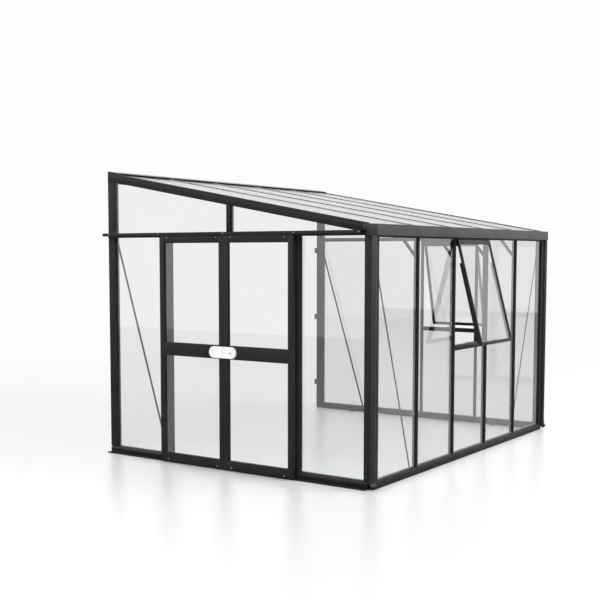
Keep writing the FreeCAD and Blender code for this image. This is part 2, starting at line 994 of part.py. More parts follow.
pipes = []
spouts = []
for tag in ("door", "far"):
    middle = "-pipe_out" if tag == "door" else "(frame_length + pipe_out)"
    sign = -1 if tag == "door" else 1
    rings = [
        (middle, "-pipe_out", "pipe_radius"),
        (middle, "-pipe_out", "pipe_radius - pipe_wall"),
    ]
    pipe = extrude("downpipe_" + tag, "XY", rings, "pipe_foot", gutter_floor)
    pipes.append(pipe)

    # The spout is a collar round the pipe with a short bent outlet.
    radius = "pipe_radius + sleeve_gap + collar_wall"
    solids = []
    cores = []
    for wall, store in ((True, solids), (False, cores)):
        size = radius if wall else "pipe_radius - pipe_wall"
        extra = "0" if wall else "2"
        ball = doc.addObject("Part::Sphere", "spout_ball")
        ball.setExpression("Radius", bound(size))
        place(ball, middle, "-pipe_out", "pipe_foot")
        outlet = doc.addObject("Part::Cylinder", "spout_outlet")
        outlet.setExpression("Radius", bound(size))
        reach = "sqrt(spout_drop * spout_drop + 2 * spout_reach * spout_reach)"
        outlet.setExpression("Height", bound(reach + " + " + extra))
        lean = "180 deg - atan(sqrt(2) * spout_reach / spout_drop)"
        axis = (1, -1, 0) if sign < 0 else (1, 1, 0)
        place(outlet, middle, "-pipe_out", "pipe_foot", axis, lean)
        store += [ball, outlet]
    collar = doc.addObject("Part::Cylinder", "spout_collar")
    collar.setExpression("Radius", bound(radius))
    collar.setExpression("Height", bound("collar_height"))
    place(collar, middle, "-pipe_out", "pipe_foot")
    solids.append(collar)
    seat = doc.addObject("Part::Cylinder", "spout_seat")
    seat.setExpression("Radius", bound("pipe_radius + sleeve_gap"))
    seat.setExpression("Height", bound("collar_height + 1"))
    place(seat, middle, "-pipe_out", "pipe_foot")
    cores.append(seat)
    flat = doc.addObject("Part::Box", "spout_flat")
    flat.setExpression("Length", bound("flat_side"))
    flat.setExpression("Width", bound("flat_side"))
    flat.setExpression("Height", bound("flat_height"))
    toward = "(pipe_radius - 1) / sqrt(2)"
    aside = "flat_side / 2 / sqrt(2)"
    flat_z = "pipe_foot - flat_height / 2"
    if sign < 0:
        flat_x = "%s + %s + %s" % (middle, toward, aside)
        place(flat, flat_x, "-pipe_out + %s - %s" % (toward, aside), flat_z, turn="45")
    else:
        flat_x = "%s - %s + %s" % (middle, toward, aside)
        place(flat, flat_x, "-pipe_out + %s + %s" % (toward, aside), flat_z, turn="135")
    cores.append(flat)
    whole = doc.addObject("Part::MultiFuse", "spout_whole")
    whole.Shapes = solids
    hollow = doc.addObject("Part::MultiFuse", "spout_hollow")
    hollow.Shapes = cores
    spout = doc.addObject("Part::Cut", "spout_" + tag)
    spout.Base = whole
    spout.Tool = hollow
    spouts.append(spout)
node("downpipes", pipes)
node("downpipe_spouts", spouts)

# Knee braces: flat plates beside the webs, from mullion to roof bar.

knee_low = "(eave_height - knee_drop)"
knee_high = "(%s - knee_bury)" % roof_top("knee_reach")
knee_front = "(%s + flange_thick + knee_gap)" % glass_back
knees = []
for number in range(4):
    outline = [
        (knee_front, knee_low),
        (knee_front + " + knee_foot", knee_low),
        ("knee_reach + knee_half", knee_high),
        ("knee_reach - knee_half", knee_high),
        (knee_front, knee_low + " + knee_half"),
    ]
    start = "%s + web_thick / 2" % front_bar(number)
    knees.append(
        extrude("knee_brace_%d" % number, "YZ", [outline], start, start + " + knee_thick")
    )
node("knee_braces", knees)

# Diagonal braces on the inner faces of the bars.

brace_half = "brace_width / 2"


def brace_outline(top_at, top_z, foot_at):
    foot_z = "base_height / 2"
    return [
        ("%s - %s" % (foot_at, brace_half), foot_z),
        ("%s + %s" % (foot_at, brace_half), foot_z),
        ("%s + %s" % (top_at, brace_half), top_z),
        ("%s - %s" % (top_at, brace_half), top_z),
    ]


inner_face = "bar_depth"
brace_back = "bar_depth + brace_thick"
front_top = eave_seat + " - brace_corner_drop"
gable_top = "(transom_low - edge_gap)"
near_top = "brace_corner"
far_top = "(frame_length - brace_corner)"
wall_top = "(frame_depth - brace_wall)"
near_foot = front_bar(0) + " - brace_shift"
far_foot = front_bar(3) + " + brace_shift"
gable_foot = "(gable_middle + jamb_offset + (jamb_width + brace_width) / 2)"
braces = [
    upright(
        "brace_first",
        "front",
        brace_outline(near_top, front_top, near_foot),
        inner_face,
        brace_back,
    ),
    upright(
        "brace_last",
        "front",
        brace_outline(far_top, front_top, far_foot),
        inner_face,
        brace_back,
    ),
]
for side in ("door", "far"):
    outline = brace_outline(wall_top, gable_top, gable_foot)
    braces.append(upright("brace_" + side, side, outline, inner_face, brace_back))
node("diagonal_braces", braces)

# Panes of the front wall. The third bay holds the window above its sill.

pane_back = "glass_set + glass_thick"
pane_top = "(%s + eave_groove - edge_gap)" % eave_seat
post_edge = "(post_face - groove_depth + edge_gap)"
front_edges = [post_edge]
for number in range(4):
    front_edges += [
        "%s - bar_edge_gap" % front_bar(number),
        "%s + bar_edge_gap" % front_bar(number),
    ]
front_edges.append("frame_length - %s" % post_edge)
sill_pane_top = "sill_low + groove_depth - edge_gap"
front_panes = []
for number in range(5):
    top = sill_pane_top if number == 2 else pane_top
    outline = rectangle(
        front_edges[2 * number], pane_foot, front_edges[2 * number + 1], top
    )
    front_panes.append(
        upright("front_pane_%d" % number, "front", outline, "glass_set", pane_back)
    )
node("front_panes", front_panes)

# Panes of the two gables below the transoms.

under_transom = "transom_low + groove_depth - edge_gap"
jamb_edge = "(jamb_offset + jamb_width / 2 - groove_depth + edge_gap)"
wall_edge = "(frame_depth - %s)" % post_edge
end_spans = [
    ("door", post_edge, "gable_middle - " + jamb_edge, under_transom),
    ("door", "gable_middle + " + jamb_edge, wall_edge, under_transom),
    ("far", post_edge, gable_bar(-1) + " - bar_edge_gap", under_transom),
    (
        "far",
        gable_bar(-1) + " + bar_edge_gap",
        gable_bar(0) + " - bar_edge_gap",
        sill_pane_top,
    ),
    (
        "far",
        gable_bar(0) + " + bar_edge_gap",
        gable_bar(1) + " - bar_edge_gap",
        under_transom,
    ),
    ("far", gable_bar(1) + " + bar_edge_gap", wall_edge, under_transom),
]
end_panes = []
for number, (side, left, right, top) in enumerate(end_spans):
    outline = rectangle(left, pane_foot, right, top)
    end_panes.append(
        upright("end_pane_%d" % number, side, outline, "glass_set", pane_back)
    )
node("end_panes", end_panes)

# Raked panes above the transoms.

upper_foot = "%s - groove_depth + edge_gap" % transom_top
upper_inner = "(gable_bar_width / 2 - groove_depth + edge_gap)"
upper_panes = []
for side in ("door", "far"):
    for tag, left, right in (
        ("low", foot_end + " + upper_pane_set", "gable_middle - " + upper_inner),
        ("high", "gable_middle + " + upper_inner, wall_foot + " - edge_gap"),
    ):
        outline = [
            (left, upper_foot),
            (right, upper_foot),
            (right, rafter_under(right) + " + groove_depth - 2 * edge_gap"),
            (left, rafter_under(left) + " + groove_depth - 2 * edge_gap"),
        ]
        upper_panes.append(
            upright("upper_pane_%s_%s" % (side, tag), side, outline, "glass_set", pane_back)
        )
node("gable_upper_panes", upper_panes)

# Window surrounds: a head rail with its hinge bead and a sloped sill
# with the stay's peg, between two mullions of the front and of the far end.

windows = {
    "front": (front_bar(1), front_bar(2), eave_seat),
    "far": (gable_bar(-1), gable_bar(0), "transom_low"),
}
bar_clear = "(bar_width / 2 + glass_gap)"
heads = []
sills = []
for side, (left, right, top) in windows.items():
    start = "%s + %s" % (left, bar_clear)
    stop = "%s - %s" % (right, bar_clear)
    middle = "((%s) + (%s)) / 2" % (left, right)
    head_low = "hinge_height - head_drop"
    outline = rectangle("cap_set", head_low, "bar_depth", top)
    head = level("window_head_" + side, side, [outline], start, stop)
    fin_low = "hinge_height - bead_fin"
    fin_high = "hinge_height + bead_fin"
    outline = rectangle("-hinge_out", fin_low, "cap_set + 1", fin_high)
    bead_at = "-hinge_out"
    plane = "YZ"
    if side == "far":
        outline = [(inward(side, d), z) for d, z in outline]
        bead_at = inward(side, bead_at)
        plane = "XZ"
    pad(head, plane, [outline], start, stop)
    pad(head, plane, [(bead_at, "hinge_height", "hinge_radius")], start, stop)
    heads.append(head)

    outline = [
        ("cap_set", "sill_low"),
        ("cap_set", sill_top + " - sill_fall"),
        ("cap_set + sill_slope", sill_top),
        ("bar_depth", sill_top),
        ("bar_depth", "sill_low"),
        (glass_back, "sill_low"),
        (glass_back, "sill_low + groove_depth"),
        (glass_front, "sill_low + groove_depth"),
        (glass_front, "sill_low"),
    ]
    sill = level("window_sill_" + side, side, [outline], start, stop)
    if side == "front":
        peg = (middle, "peg_set", "peg_radius")
    else:
        peg = (inward(side, "peg_set"), middle, "peg_radius")
    pad(sill, "XY", [peg], sill_top + " - 1", sill_top + " + peg_height")
    sills.append(sill)
node("window_heads", heads)
node("window_sills", sills)


# Sashes are drawn closed about their hinge line, with x along it, y
# inwards and z up, and then swung open. The stay is drawn about its own
# pin, laid from the sash to the peg on the sill.

sash_front = "-sash_outer"
sash_seat = "(-sash_glass - glass_gap)"
sash_face = "(-sash_glass + glass_thick + glass_gap)"


def sash_section(low, high, at_low, at_high):
    points = [(low, sash_front), (high, sash_front)]
    if at_high:
        floor = "(%s) - sash_groove" % high
        points += [(high, sash_seat), (floor, sash_seat)]
        points += [(floor, sash_face), (high, sash_face)]
    points += [(high, "sash_inner"), (low, "sash_inner")]
    if at_low:
        floor = "(%s) + sash_groove" % low
        points += [(low, sash_face), (floor, sash_face)]
        points += [(floor, sash_seat), (low, sash_seat)]
    return points


def sash_core(low, high, at_low, at_high):
    """Hollow of a sash bar, clear of its glass groove."""
    near = "(%s) + shell" % low
    away = "(%s) - shell" % high
    if at_low:
        near += " + sash_groove"
    if at_high:
        away += " - sash_groove"
    return rectangle(near, "-sash_outer + shell", away, "sash_inner - shell")


stay_z = "(-sash_drop + stay_rise)"
pin_y = "(sash_inner + stay_out)"


def sash_parts(tag, left, right):
    start = "(%s + sash_lap)" % left
    stop = "(%s - sash_lap)" % right
    middle = "((%s) + (%s)) / 2" % (left, right)
    bar = ("-sash_top_rail", "-hook_radius", True, False)
    outlines = [swapped(sash_section(*bar)), swapped(sash_core(*bar))]
    top_rail = extrude("sash_top_" + tag, "YZ", outlines, start, stop)
    ring_start = "(%s + hook_inset)" % start
    ring_stop = "(%s - hook_inset)" % stop
    neck = rectangle(
        "-hook_radius",
        "-hook_radius - 1",
        "hinge_radius / 3",
        "-hinge_radius - 1",
    )
    pad(top_rail, "YZ", [neck], ring_start, ring_stop)
    ring = [
        ("0", "0", "hook_radius"),
        ("0", "0", "hinge_radius + running_gap"),
    ]
    pad(top_rail, "YZ", ring, ring_start, ring_stop)
    mouth = rectangle("hinge_radius / 3", "-hook_radius", "hook_radius + 1", "hook_radius + 1")
    pocket(top_rail, "YZ", [mouth], ring_start + " - 1", ring_stop + " + 1")
    pieces = [top_rail]
    low = "-sash_drop"
    for name, bar in (
        ("left", (start, start + " + sash_stile", False, True)),
        ("right", (stop + " - sash_stile", stop, True, False)),
    ):
        outlines = [sash_section(*bar), sash_core(*bar)]
        stile = extrude("sash_%s_%s" % (name, tag), "XY", outlines, low, "-sash_top_rail")
        leg_at = "%s + leg_set" % start if name == "left" else "%s - leg_set - leg_thick" % stop
        leg = rectangle(
            leg_at, "sash_inner - shell", leg_at + " + leg_thick", "sash_inner + leg_depth"
        )
        leg_foot = "%s - hinge_height + shell" % sill_top
        pad(stile, "XY", [leg], leg_foot, "-leg_start")
        pieces.append(stile)
    bar = (low, low + " + sash_bottom_rail", False, True)
    pieces.append(
        extrude(
            "sash_bottom_" + tag,
            "YZ",
            [swapped(sash_section(*bar)), swapped(sash_core(*bar))],
            start + " + sash_stile",
            stop + " - sash_stile",
        )
    )
    cheek = rectangle(
        "sash_inner", stay_z + " - stay_eye", pin_y + " + stay_eye", stay_z + " + stay_eye"
    )
    near = "%s + stay_width / 2 + glass_gap" % middle
    away = "%s - stay_width / 2 - glass_gap" % middle
    fork = extrude("stay_fork_" + tag, "YZ", [cheek], near, near + " + cheek_thick")
    pad(fork, "YZ", [(pin_y, stay_z, "stay_pin")], away + " - 1", near + " + 1")
    pad(fork, "YZ", [cheek], away + " - cheek_thick", away)
    pieces.append(fork)
    overlap = "(sash_groove - edge_gap)"
    outline = rectangle(
        "%s + sash_stile - %s" % (start, overlap),
        "%s + sash_bottom_rail - %s" % (low, overlap),
        "%s - sash_stile + %s" % (stop, overlap),
        "-sash_top_rail + %s" % overlap,
    )
    pane = extrude(
        "sash_pane_" + tag, "XZ", [outline], "-sash_glass", "-sash_glass + glass_thick"
    )
    return pieces, pane


pin_out = "(%s * cos(opening_angle) + %s * sin(opening_angle))" % (pin_y, stay_z)
pin_up = "(%s * cos(opening_angle) - %s * sin(opening_angle))" % (stay_z, pin_y)
peg_top = "(%s + peg_height + stay_rest)" % sill_top
stay_fall = "(hinge_height + %s - %s - stay_thick / 2)" % (pin_up, peg_top)
stay_run = "(peg_set + hinge_out - %s)" % pin_out
stay_slope = "atan(%s / %s)" % (stay_fall, stay_run)
stay_length = "(sqrt(%s * %s + %s * %s) + stay_tail)" % (
    stay_fall,
    stay_fall,
    stay_run,
    stay_run,
)


def stay_arm(tag, middle):
    half = "stay_width / 2"
    arm = extrude(
        "stay_" + tag,
        "XY",
        [
            rectangle(
                "%s - %s" % (middle, half),
                "stay_pin + 1",
                "%s + %s" % (middle, half),
                stay_length,
            )
        ],
        "-stay_thick / 2",
        "stay_thick / 2",
    )
    eye = [("0", "0", "stay_eye")]
    pad(arm, "YZ", eye, "%s - %s" % (middle, half), "%s + %s" % (middle, half))
    bore = [("0", "0", "stay_pin + running_gap")]
    pocket(arm, "YZ", bore, "%s - %s - 1" % (middle, half), "%s + %s + 1" % (middle, half))
    return arm


def hang(tag, pieces, side):
    """Swing pieces open about the hinge line and set them on their wall."""
    swing = group("swing_" + tag, pieces)
    place(swing, "0", "0", "0", (1, 0, 0), "-opening_angle")
    outer = group("hung_" + tag, [swing])
    if side == "front":
        place(outer, "0", "-hinge_out", "hinge_height")
    else:
        place(outer, "frame_length + hinge_out", "0", "hinge_height", (0, 0, 1), "90")
    return outer


for side, (left, right, top) in windows.items():
    pieces, pane = sash_parts(side, left, right)
    node(side + "_sash_frame", [hang(side + "_frame", pieces, side)])
    node(side + "_sash_pane", [hang(side + "_pane", [pane], side)])
    middle = "((%s) + (%s)) / 2" % (left, right)
    arm = group("laid_" + side, [stay_arm(side, middle)])
    place(arm, "0", pin_out, pin_up, (1, 0, 0), "-" + stay_slope)
    outer = group("stay_set_" + side, [arm])
    if side == "front":
        place(outer, "0", "-hinge_out", "hinge_height")
    else:
        place(outer, "frame_length + hinge_out", "0", "hinge_height", (0, 0, 1), "90")
    node(side + "_stay", [outer])

# Door tracks: the top one has a running ledge for the rollers behind a
# cover face, the bottom one is a low guide rail in front of the base.

track_top = transom_top
ledge_top = "(ledge_low + wall_thick)"
track_outline = [
    ("-track_reach", track_top + " - track_cover"),
    ("-track_reach", track_top),
    ("0", track_top),
    ("0", "transom_low"),
    ("-wall_thick", "transom_low"),
    ("-wall_thick", "ledge_low"),
    ("-ledge_reach", "ledge_low"),
    ("-ledge_reach", ledge_top),
    ("-wall_thick", ledge_top),
    ("-wall_thick", track_top + " - wall_thick"),
    ("-track_reach + wall_thick", track_top + " - wall_thick"),
    ("-track_reach + wall_thick", track_top + " - track_cover"),
]
track = extrude("top_track_bar", "XZ", [track_outline], "track_start", "frame_depth")
node("door_top_track", [track])

guide_outline = [
    ("-guide_reach", "0"),
    ("-guide_reach", "guide_lip"),
    ("-guide_reach + guide_thick", "guide_lip"),
    ("-guide_reach + guide_thick", "guide_thick"),
    ("0", "guide_thick"),
    ("0", "0"),
]
guide = extrude("bottom_rail_bar", "XZ", [guide_outline], "guide_start", "frame_depth")
node("door_bottom_rail", [guide])


# Sliding leaves. Distances along a leaf are measured from the line where
# the two leaves meet, and each leaf is a mirror image of the other.

door_back = "(-door_face + door_thick)"
leaf_seat = "(-door_glass - glass_gap)"
leaf_face = "(-door_glass + glass_thick + glass_gap)"
leaf_inner = "leaf_gap / 2"
leaf_outer = "(leaf_gap / 2 + door_width)"
axle_height = "(%s + roller_radius + roller_gap)" % ledge_top
roller_back = "-roller_set"
roller_front = "(-roller_set - roller_width)"


def leaf_section(low, high, at_low, at_high):
    """Section of a stile or rail, as (edge axis, x)."""
    points = [(low, "-door_face"), (high, "-door_face")]
    if at_high:
        floor = "(%s) - groove_depth" % high
        points += [(high, leaf_seat), (floor, leaf_seat)]
        points += [(floor, leaf_face), (high, leaf_face)]
    points += [(high, door_back), (low, door_back)]
    if at_low:
        floor = "(%s) + groove_depth" % low
        points += [(low, leaf_face), (floor, leaf_face)]
        points += [(floor, leaf_seat), (low, leaf_seat)]
    return points


def leaf_core(low, high, at_low, at_high):
    """Hollow of a stile or rail, clear of its glass grooves."""
    near = "(%s) + shell" % low
    away = "(%s) - shell" % high
    if at_low:
        near += " + groove_depth"
    if at_high:
        away += " - groove_depth"
    return rectangle(near, "-door_face + shell", away, "%s - shell" % door_back)


def door_leaf(tag, sign):
    def at(distance):
        return "(gable_middle %s (%s))" % ("+" if sign > 0 else "-", distance)

    def span(low, high):
        return (at(low), at(high)) if sign > 0 else (at(high), at(low))

    prefix = tag + "_door_"
    stiles = []
    inner_edge = leaf_inner + " + stile_width"
    outer_edge = leaf_outer + " - stile_width"
    for name, low, high, grooves in (
        ("meeting", leaf_inner, inner_edge, (False, True)),
        ("outer", outer_edge, leaf_outer, (True, False)),
    ):
        outlines = [leaf_section(low, high, *grooves), leaf_core(low, high, *grooves)]
        outlines = [[(x, at(a)) for a, x in points] for points in outlines]
        stiles.append(extrude(prefix + name, "XY", outlines, "door_foot", "door_top"))
    node(prefix + "stiles", stiles)

    start, stop = span(inner_edge, outer_edge)
    mid_top = "mid_rail_low + mid_rail_height"
    rails = []
    for name, low, high, grooves in (
        ("bottom", "door_foot", "door_foot + bottom_rail", (False, True)),
        ("middle", "mid_rail_low", mid_top, (True, True)),
        ("top", "door_top - top_rail", "door_top", (True, False)),
    ):
        outlines = [leaf_section(low, high, *grooves), leaf_core(low, high, *grooves)]
        outlines = [swapped(points) for points in outlines]
        rails.append(extrude(prefix + name, "XZ", outlines, start, stop))
    node(prefix + "rails", rails)

    bite = "groove_depth - edge_gap"
    start, stop = span(inner_edge + " - (%s)" % bite, outer_edge + " + " + bite)
    panes = []
    for name, low, high in (
        ("lower", "door_foot + bottom_rail", "mid_rail_low"),
        ("upper", mid_top, "door_top - top_rail"),
    ):
        outline = rectangle(start, "%s - (%s)" % (low, bite), stop, "%s + %s" % (high, bite))
        panes.append(
            extrude(
                prefix + name,
                "YZ",
                [outline],
                "-door_glass",
                "-door_glass + glass_thick",
            )
        )
    node(prefix + "panes", panes)

    # Half of the handle: a straight part and a round end, with a
    # shallow panel inside a raised rim.
    centre = "(mid_rail_low + mid_rail_height / 2)"
    half = "handle_height / 2"
    end_at = "(handle_half - handle_height / 2)"
    face = "(-door_face - handle_thick)"
    start, stop = span(leaf_inner, end_at)
    handle = doc.addObject("PartDesign::Body", prefix + "handle_body")
    bar = rectangle(start, "%s - %s" % (centre, half), stop, "%s + %s" % (centre, half))
    pad(handle, "YZ", [bar], face, "-door_face")
    tip = pad(handle, "YZ", [(at(end_at), centre, half)], face, "-door_face")
    outer_x = value(face)
    meeting = value(at(leaf_inner))
    rim = edges_where(
        handle,
        lambda box: abs(box.XMin - outer_x) < 0.01
        and abs(box.XMax - outer_x) < 0.01
        and not (abs(box.YMin - meeting) < 0.01 and abs(box.YMax - meeting) < 0.01),
    )
    round_edges(handle, tip, rim, "handle_round")
    start, stop = span(leaf_inner + " - 1", end_at)
    inset = "(handle_height / 2 - handle_rim)"
    bar = rectangle(start, "%s - %s" % (centre, inset), stop, "%s + %s" % (centre, inset))
    floor = "%s + handle_recess" % face
    pocket(handle, "YZ", [bar], face + " - 1", floor)
    pocket(handle, "YZ", [(at(end_at), centre, inset)], face + " - 1", floor)
    if sign < 0:
        hole = (at("knob_place"), centre, "spindle_radius + running_gap")
        pocket(handle, "YZ", [hole], face + " - 1", floor + " + spindle_length + 1")
        knob = doc.addObject("PartDesign::Body", "lock_knob_body")
        disc_back = "(%s + handle_recess)" % face
        disc = (at("knob_place"), centre, "knob_radius")
        disc_face = "%s - knob_disc" % disc_back
        pad(knob, "YZ", [disc], disc_face, disc_back)
        grip = rectangle(
            at("knob_place + grip_half"),
            "%s - knob_radius + grip_set" % centre,
            at("knob_place - grip_half"),
            "%s + knob_radius - grip_set" % centre,
        )
        pad(knob, "YZ", [grip], "%s - knob_grip" % disc_face, disc_face)
        spindle = (at("knob_place"), centre, "spindle_radius")
        pad(knob, "YZ", [spindle], disc_back, "%s + spindle_length" % disc_back)
        node("lock_knob", [knob])
    node(prefix + "handle", [handle])

    # Hangers bolted to the back of the leaf, with the rollers' axles.
    hangers = []
    hanger_front = door_back
    hanger_back = door_back + " + hanger_thick"
    for number, place_at in enumerate(
        (leaf_inner + " + hanger_inset", leaf_outer + " - hanger_inset")
    ):
        low = "%s - hanger_width / 2" % at(place_at)
        high = "%s + hanger_width / 2" % at(place_at)
        foot = axle_height + " - hanger_drop"
        outline = rectangle(low, foot, high, axle_height + " + hanger_top")
        hanger = extrude(
            prefix + "hanger_%d" % number, "YZ", [outline], hanger_front, hanger_back
        )
        axle = (at(place_at), axle_height, "axle_radius")
        pad(hanger, "YZ", [axle], hanger_back, roller_back + " + 1")
        hangers.append(hanger)
        wheel = extrude(
            prefix + "wheel_%d" % number,
            "YZ",
            [
                (at(place_at), axle_height, "roller_radius"),
                (at(place_at), axle_height, "axle_radius + running_gap"),
            ],
            roller_front,
            roller_back,
        )
        name = "inner" if number == 0 else "outer"
        node("%s_door_roller_%s" % (tag, name), [wheel])
    node(prefix + "hangers", hangers)

    # Guides hook down behind the lip of the bottom rail.
    lip_back = "(-guide_reach + guide_thick + glass_gap)"
    guides = []
    for number, place_at in enumerate(
        (leaf_inner + " + guide_inset", leaf_outer + " - guide_inset")
    ):
        outline = [
            (door_back, "door_foot"),
            (door_back, "guide_top"),
            (door_back + " + guide_block", "guide_top"),
            (door_back + " + guide_block", "guide_thick + guide_lift"),
            (lip_back, "guide_thick + guide_lift"),
            (lip_back, "door_foot"),
        ]
        low = "%s - guide_width / 2" % at(place_at)
        guides.append(
            extrude(
                prefix + "guide_%d" % number, "XZ", [outline], low, low + " + guide_width"
            )
        )
    node(prefix + "guides", guides)

    # Screw heads on the face of the leaf.
    screws = []
    columns = (inner_edge + " + screw_inner", outer_edge + " - screw_outer")
    for row, height in enumerate(("door_foot + screw_foot", "door_top - screw_top")):
        for column, distance in enumerate(columns):
            screws.append(
                rod(
                    prefix + "screw_%d_%d" % (row, column),
                    "X",
                    "screw_head",
                    at(distance),
                    height,
                    "-door_face - screw_rise",
                    "-door_face",
                )
            )
    node(prefix + "screws", screws)


door_leaf("left", 1)
door_leaf("right", -1)

# Screw heads along the cover face of the top track.

track_screws = []
for number, along in enumerate(
    (
        "track_start + track_screw_start",
        "gable_middle - door_width - track_screw_gap",
        "gable_middle",
        "gable_middle + door_width + track_screw_gap",
        "frame_depth - post_face",
    )
):
    track_screws.append(
        rod(
            "track_screw_%d" % number,
            "X",
            "screw_head",
            along,
            track_top + " - track_cover / 2",
            "-track_reach - screw_rise",
            "-track_reach",
        )
    )
node("track_screws", track_screws)

# Bolt heads: three up each front mullion, two on each diagonal brace and
# two on each knee brace.

bolts = []
bolt_rows = ("mullion_bolt_low", "mullion_bolt_middle", "mullion_bolt_high")
knee_ends = (
    (knee_front + " + knee_foot / 2", knee_low + " + knee_bolt_set"),
    ("knee_reach", knee_high + " - knee_bolt_set"),
)
for number in range(4):
    for row, height in enumerate(bolt_rows):
        bolts.append(
            rod(
                "mullion_bolt_%d_%d" % (number, row),
                "Y",
                "mullion_bolt_head",
                front_bar(number),
                height,
                "bar_depth",
                "bar_depth + bolt_rise",
            )
        )
    start = "%s + web_thick / 2 + knee_thick" % front_bar(number)
    for row, (depth, height) in enumerate(knee_ends):
        bolts.append(
            rod(
                "knee_bolt_%d_%d" % (number, row),
                "X",
                "bolt_head",
                depth,
                height,
                start,
                start + " + bolt_rise",
            )
        )
bolt_lines = (
    ("front", near_top, front_top, near_foot),
    ("front", far_top, front_top, far_foot),
    ("door", wall_top, gable_top, gable_foot),
    ("far", wall_top, gable_top, gable_foot),
)
for number, (side, top_at, top_z, foot_at) in enumerate(bolt_lines):
    for row, (along, height) in enumerate(
        ((top_at, top_z + " - brace_foot"), (foot_at, "base_height / 2 + brace_foot"))
    ):
        start, stop = depth_span(side, brace_back, brace_back + " + bolt_rise")
        if side == "front":
            bolt = rod(
                "brace_bolt_%d_%d" % (number, row), "Y", "bolt_head", along, height, start, stop
            )
        else:
            bolt = rod(
                "brace_bolt_%d_%d" % (number, row), "X", "bolt_head", along, height, start, stop
            )
        bolts.append(bolt)
node("frame_bolts", bolts)

# Wall brackets on the inner faces of the wall posts, three to each.

brackets = []
bracket_rows = ("bracket_low", "bracket_middle", "bracket_high")
for side in ("door", "far"):
    for row, height in enumerate(bracket_rows):
        outline = [
            ("bar_depth", "frame_depth - bracket_leg"),
            ("bar_depth + bracket_thick", "frame_depth - bracket_leg"),
            ("bar_depth + bracket_thick", "frame_depth - bracket_thick"),
            ("bar_depth + bracket_leg", "frame_depth - bracket_thick"),
            ("bar_depth + bracket_leg", "frame_depth"),
            ("bar_depth", "frame_depth"),
        ]
        outline = [(inward(side, d), y) for d, y in outline]
        low = "%s - bracket_height / 2" % height
        high = "%s + bracket_height / 2" % height
        bracket = extrude("wall_bracket_%s_%d" % (side, row), "XY", [outline], low, high)
        hole = (inward(side, "bar_depth + bracket_leg * bracket_hole_share"), height, "wall_hole")
        pocket(bracket, "XZ", [hole], "frame_depth - bracket_thick - 1", "frame_depth + 1")
        brackets.append(bracket)
node("wall_brackets", brackets)

# Floor anchors: angle plates screwed to the gable base rails.

anchors = []
for side in ("door", "far"):
    for number, along in enumerate(("anchor_inset", "frame_depth - anchor_inset")):
        outline = [
            ("base_depth", "0"),
            ("base_depth + anchor_leg", "0"),
            ("base_depth + anchor_leg", "anchor_thick"),
            ("base_depth + anchor_thick", "anchor_thick"),
            ("base_depth + anchor_thick", "anchor_rise"),
            ("base_depth", "anchor_rise"),
        ]
        anchor = level(
            "floor_anchor_%s_%d" % (side, number),
            side,
            [outline],
            "%s - anchor_width / 2" % along,
            "%s + anchor_width / 2" % along,
        )
        hole = (inward(side, "base_depth + anchor_leg / 2 + floor_hole_shift"), along, "floor_hole")
        pocket(anchor, "XY", [hole], "-1", "anchor_thick + 1")
        anchors.append(anchor)
node("floor_anchors", anchors)

doc.recompute()

# Every feature must have been built before anything is written.
for thing in doc.Objects:
    if "Invalid" in thing.State or "Error" in thing.State:
        raise RuntimeError("%s failed: %s" % (thing.Name, thing.State))
for part in nodes:
    if part.Shape.isNull() or not part.Shape.isValid():
        raise RuntimeError("%s has no valid shape" % part.Label)
    if not part.Shape.Solids:
        raise RuntimeError("%s has no solid" % part.Label)
for part in nodes:
    part.Shape.exportStep("parts/%s.step" % part.Label)
    box = part.Shape.BoundBox
    print(
        "%-26s %2d solids  x %.0f..%.0f  y %.0f..%.0f  z %.0f..%.0f"
        % (
            part.Label,
            len(part.Shape.Solids),
            box.XMin,
            box.XMax,
            box.YMin,
            box.YMax,
            box.ZMin,
            box.ZMax,
        )
    )
print(len(nodes), "nodes")
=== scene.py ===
import math

import bmesh
import bpy
from mathutils import Matrix, Vector


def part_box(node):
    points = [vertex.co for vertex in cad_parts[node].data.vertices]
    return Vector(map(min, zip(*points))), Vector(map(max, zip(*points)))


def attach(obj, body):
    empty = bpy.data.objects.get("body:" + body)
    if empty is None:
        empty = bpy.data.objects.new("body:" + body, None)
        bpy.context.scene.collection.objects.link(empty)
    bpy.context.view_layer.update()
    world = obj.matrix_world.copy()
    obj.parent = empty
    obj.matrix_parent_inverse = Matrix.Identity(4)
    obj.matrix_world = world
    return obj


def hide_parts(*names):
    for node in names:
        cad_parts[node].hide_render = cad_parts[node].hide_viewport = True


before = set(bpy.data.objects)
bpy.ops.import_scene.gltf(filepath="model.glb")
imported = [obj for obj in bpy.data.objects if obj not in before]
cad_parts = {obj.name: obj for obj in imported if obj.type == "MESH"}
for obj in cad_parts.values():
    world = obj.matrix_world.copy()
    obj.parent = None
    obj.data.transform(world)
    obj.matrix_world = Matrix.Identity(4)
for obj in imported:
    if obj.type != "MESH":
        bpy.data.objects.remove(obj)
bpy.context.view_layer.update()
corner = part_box("base_front")[0]
far_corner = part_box("base_far_end")[1]

# The view. The camera stands at head height off the door end's front corner,
# as in the photograph, and a small shift puts the lens axis where it was there.
camera_place = (-6.642, -3.873, 1.764)
camera_heading = 34.557
camera_dip = 4.61
camera_roll = 0.03
focal_pixels = 1042.76
picture_pixels = 600
picture_middle = (295.12, 337.74)
sensor_width = 36.0

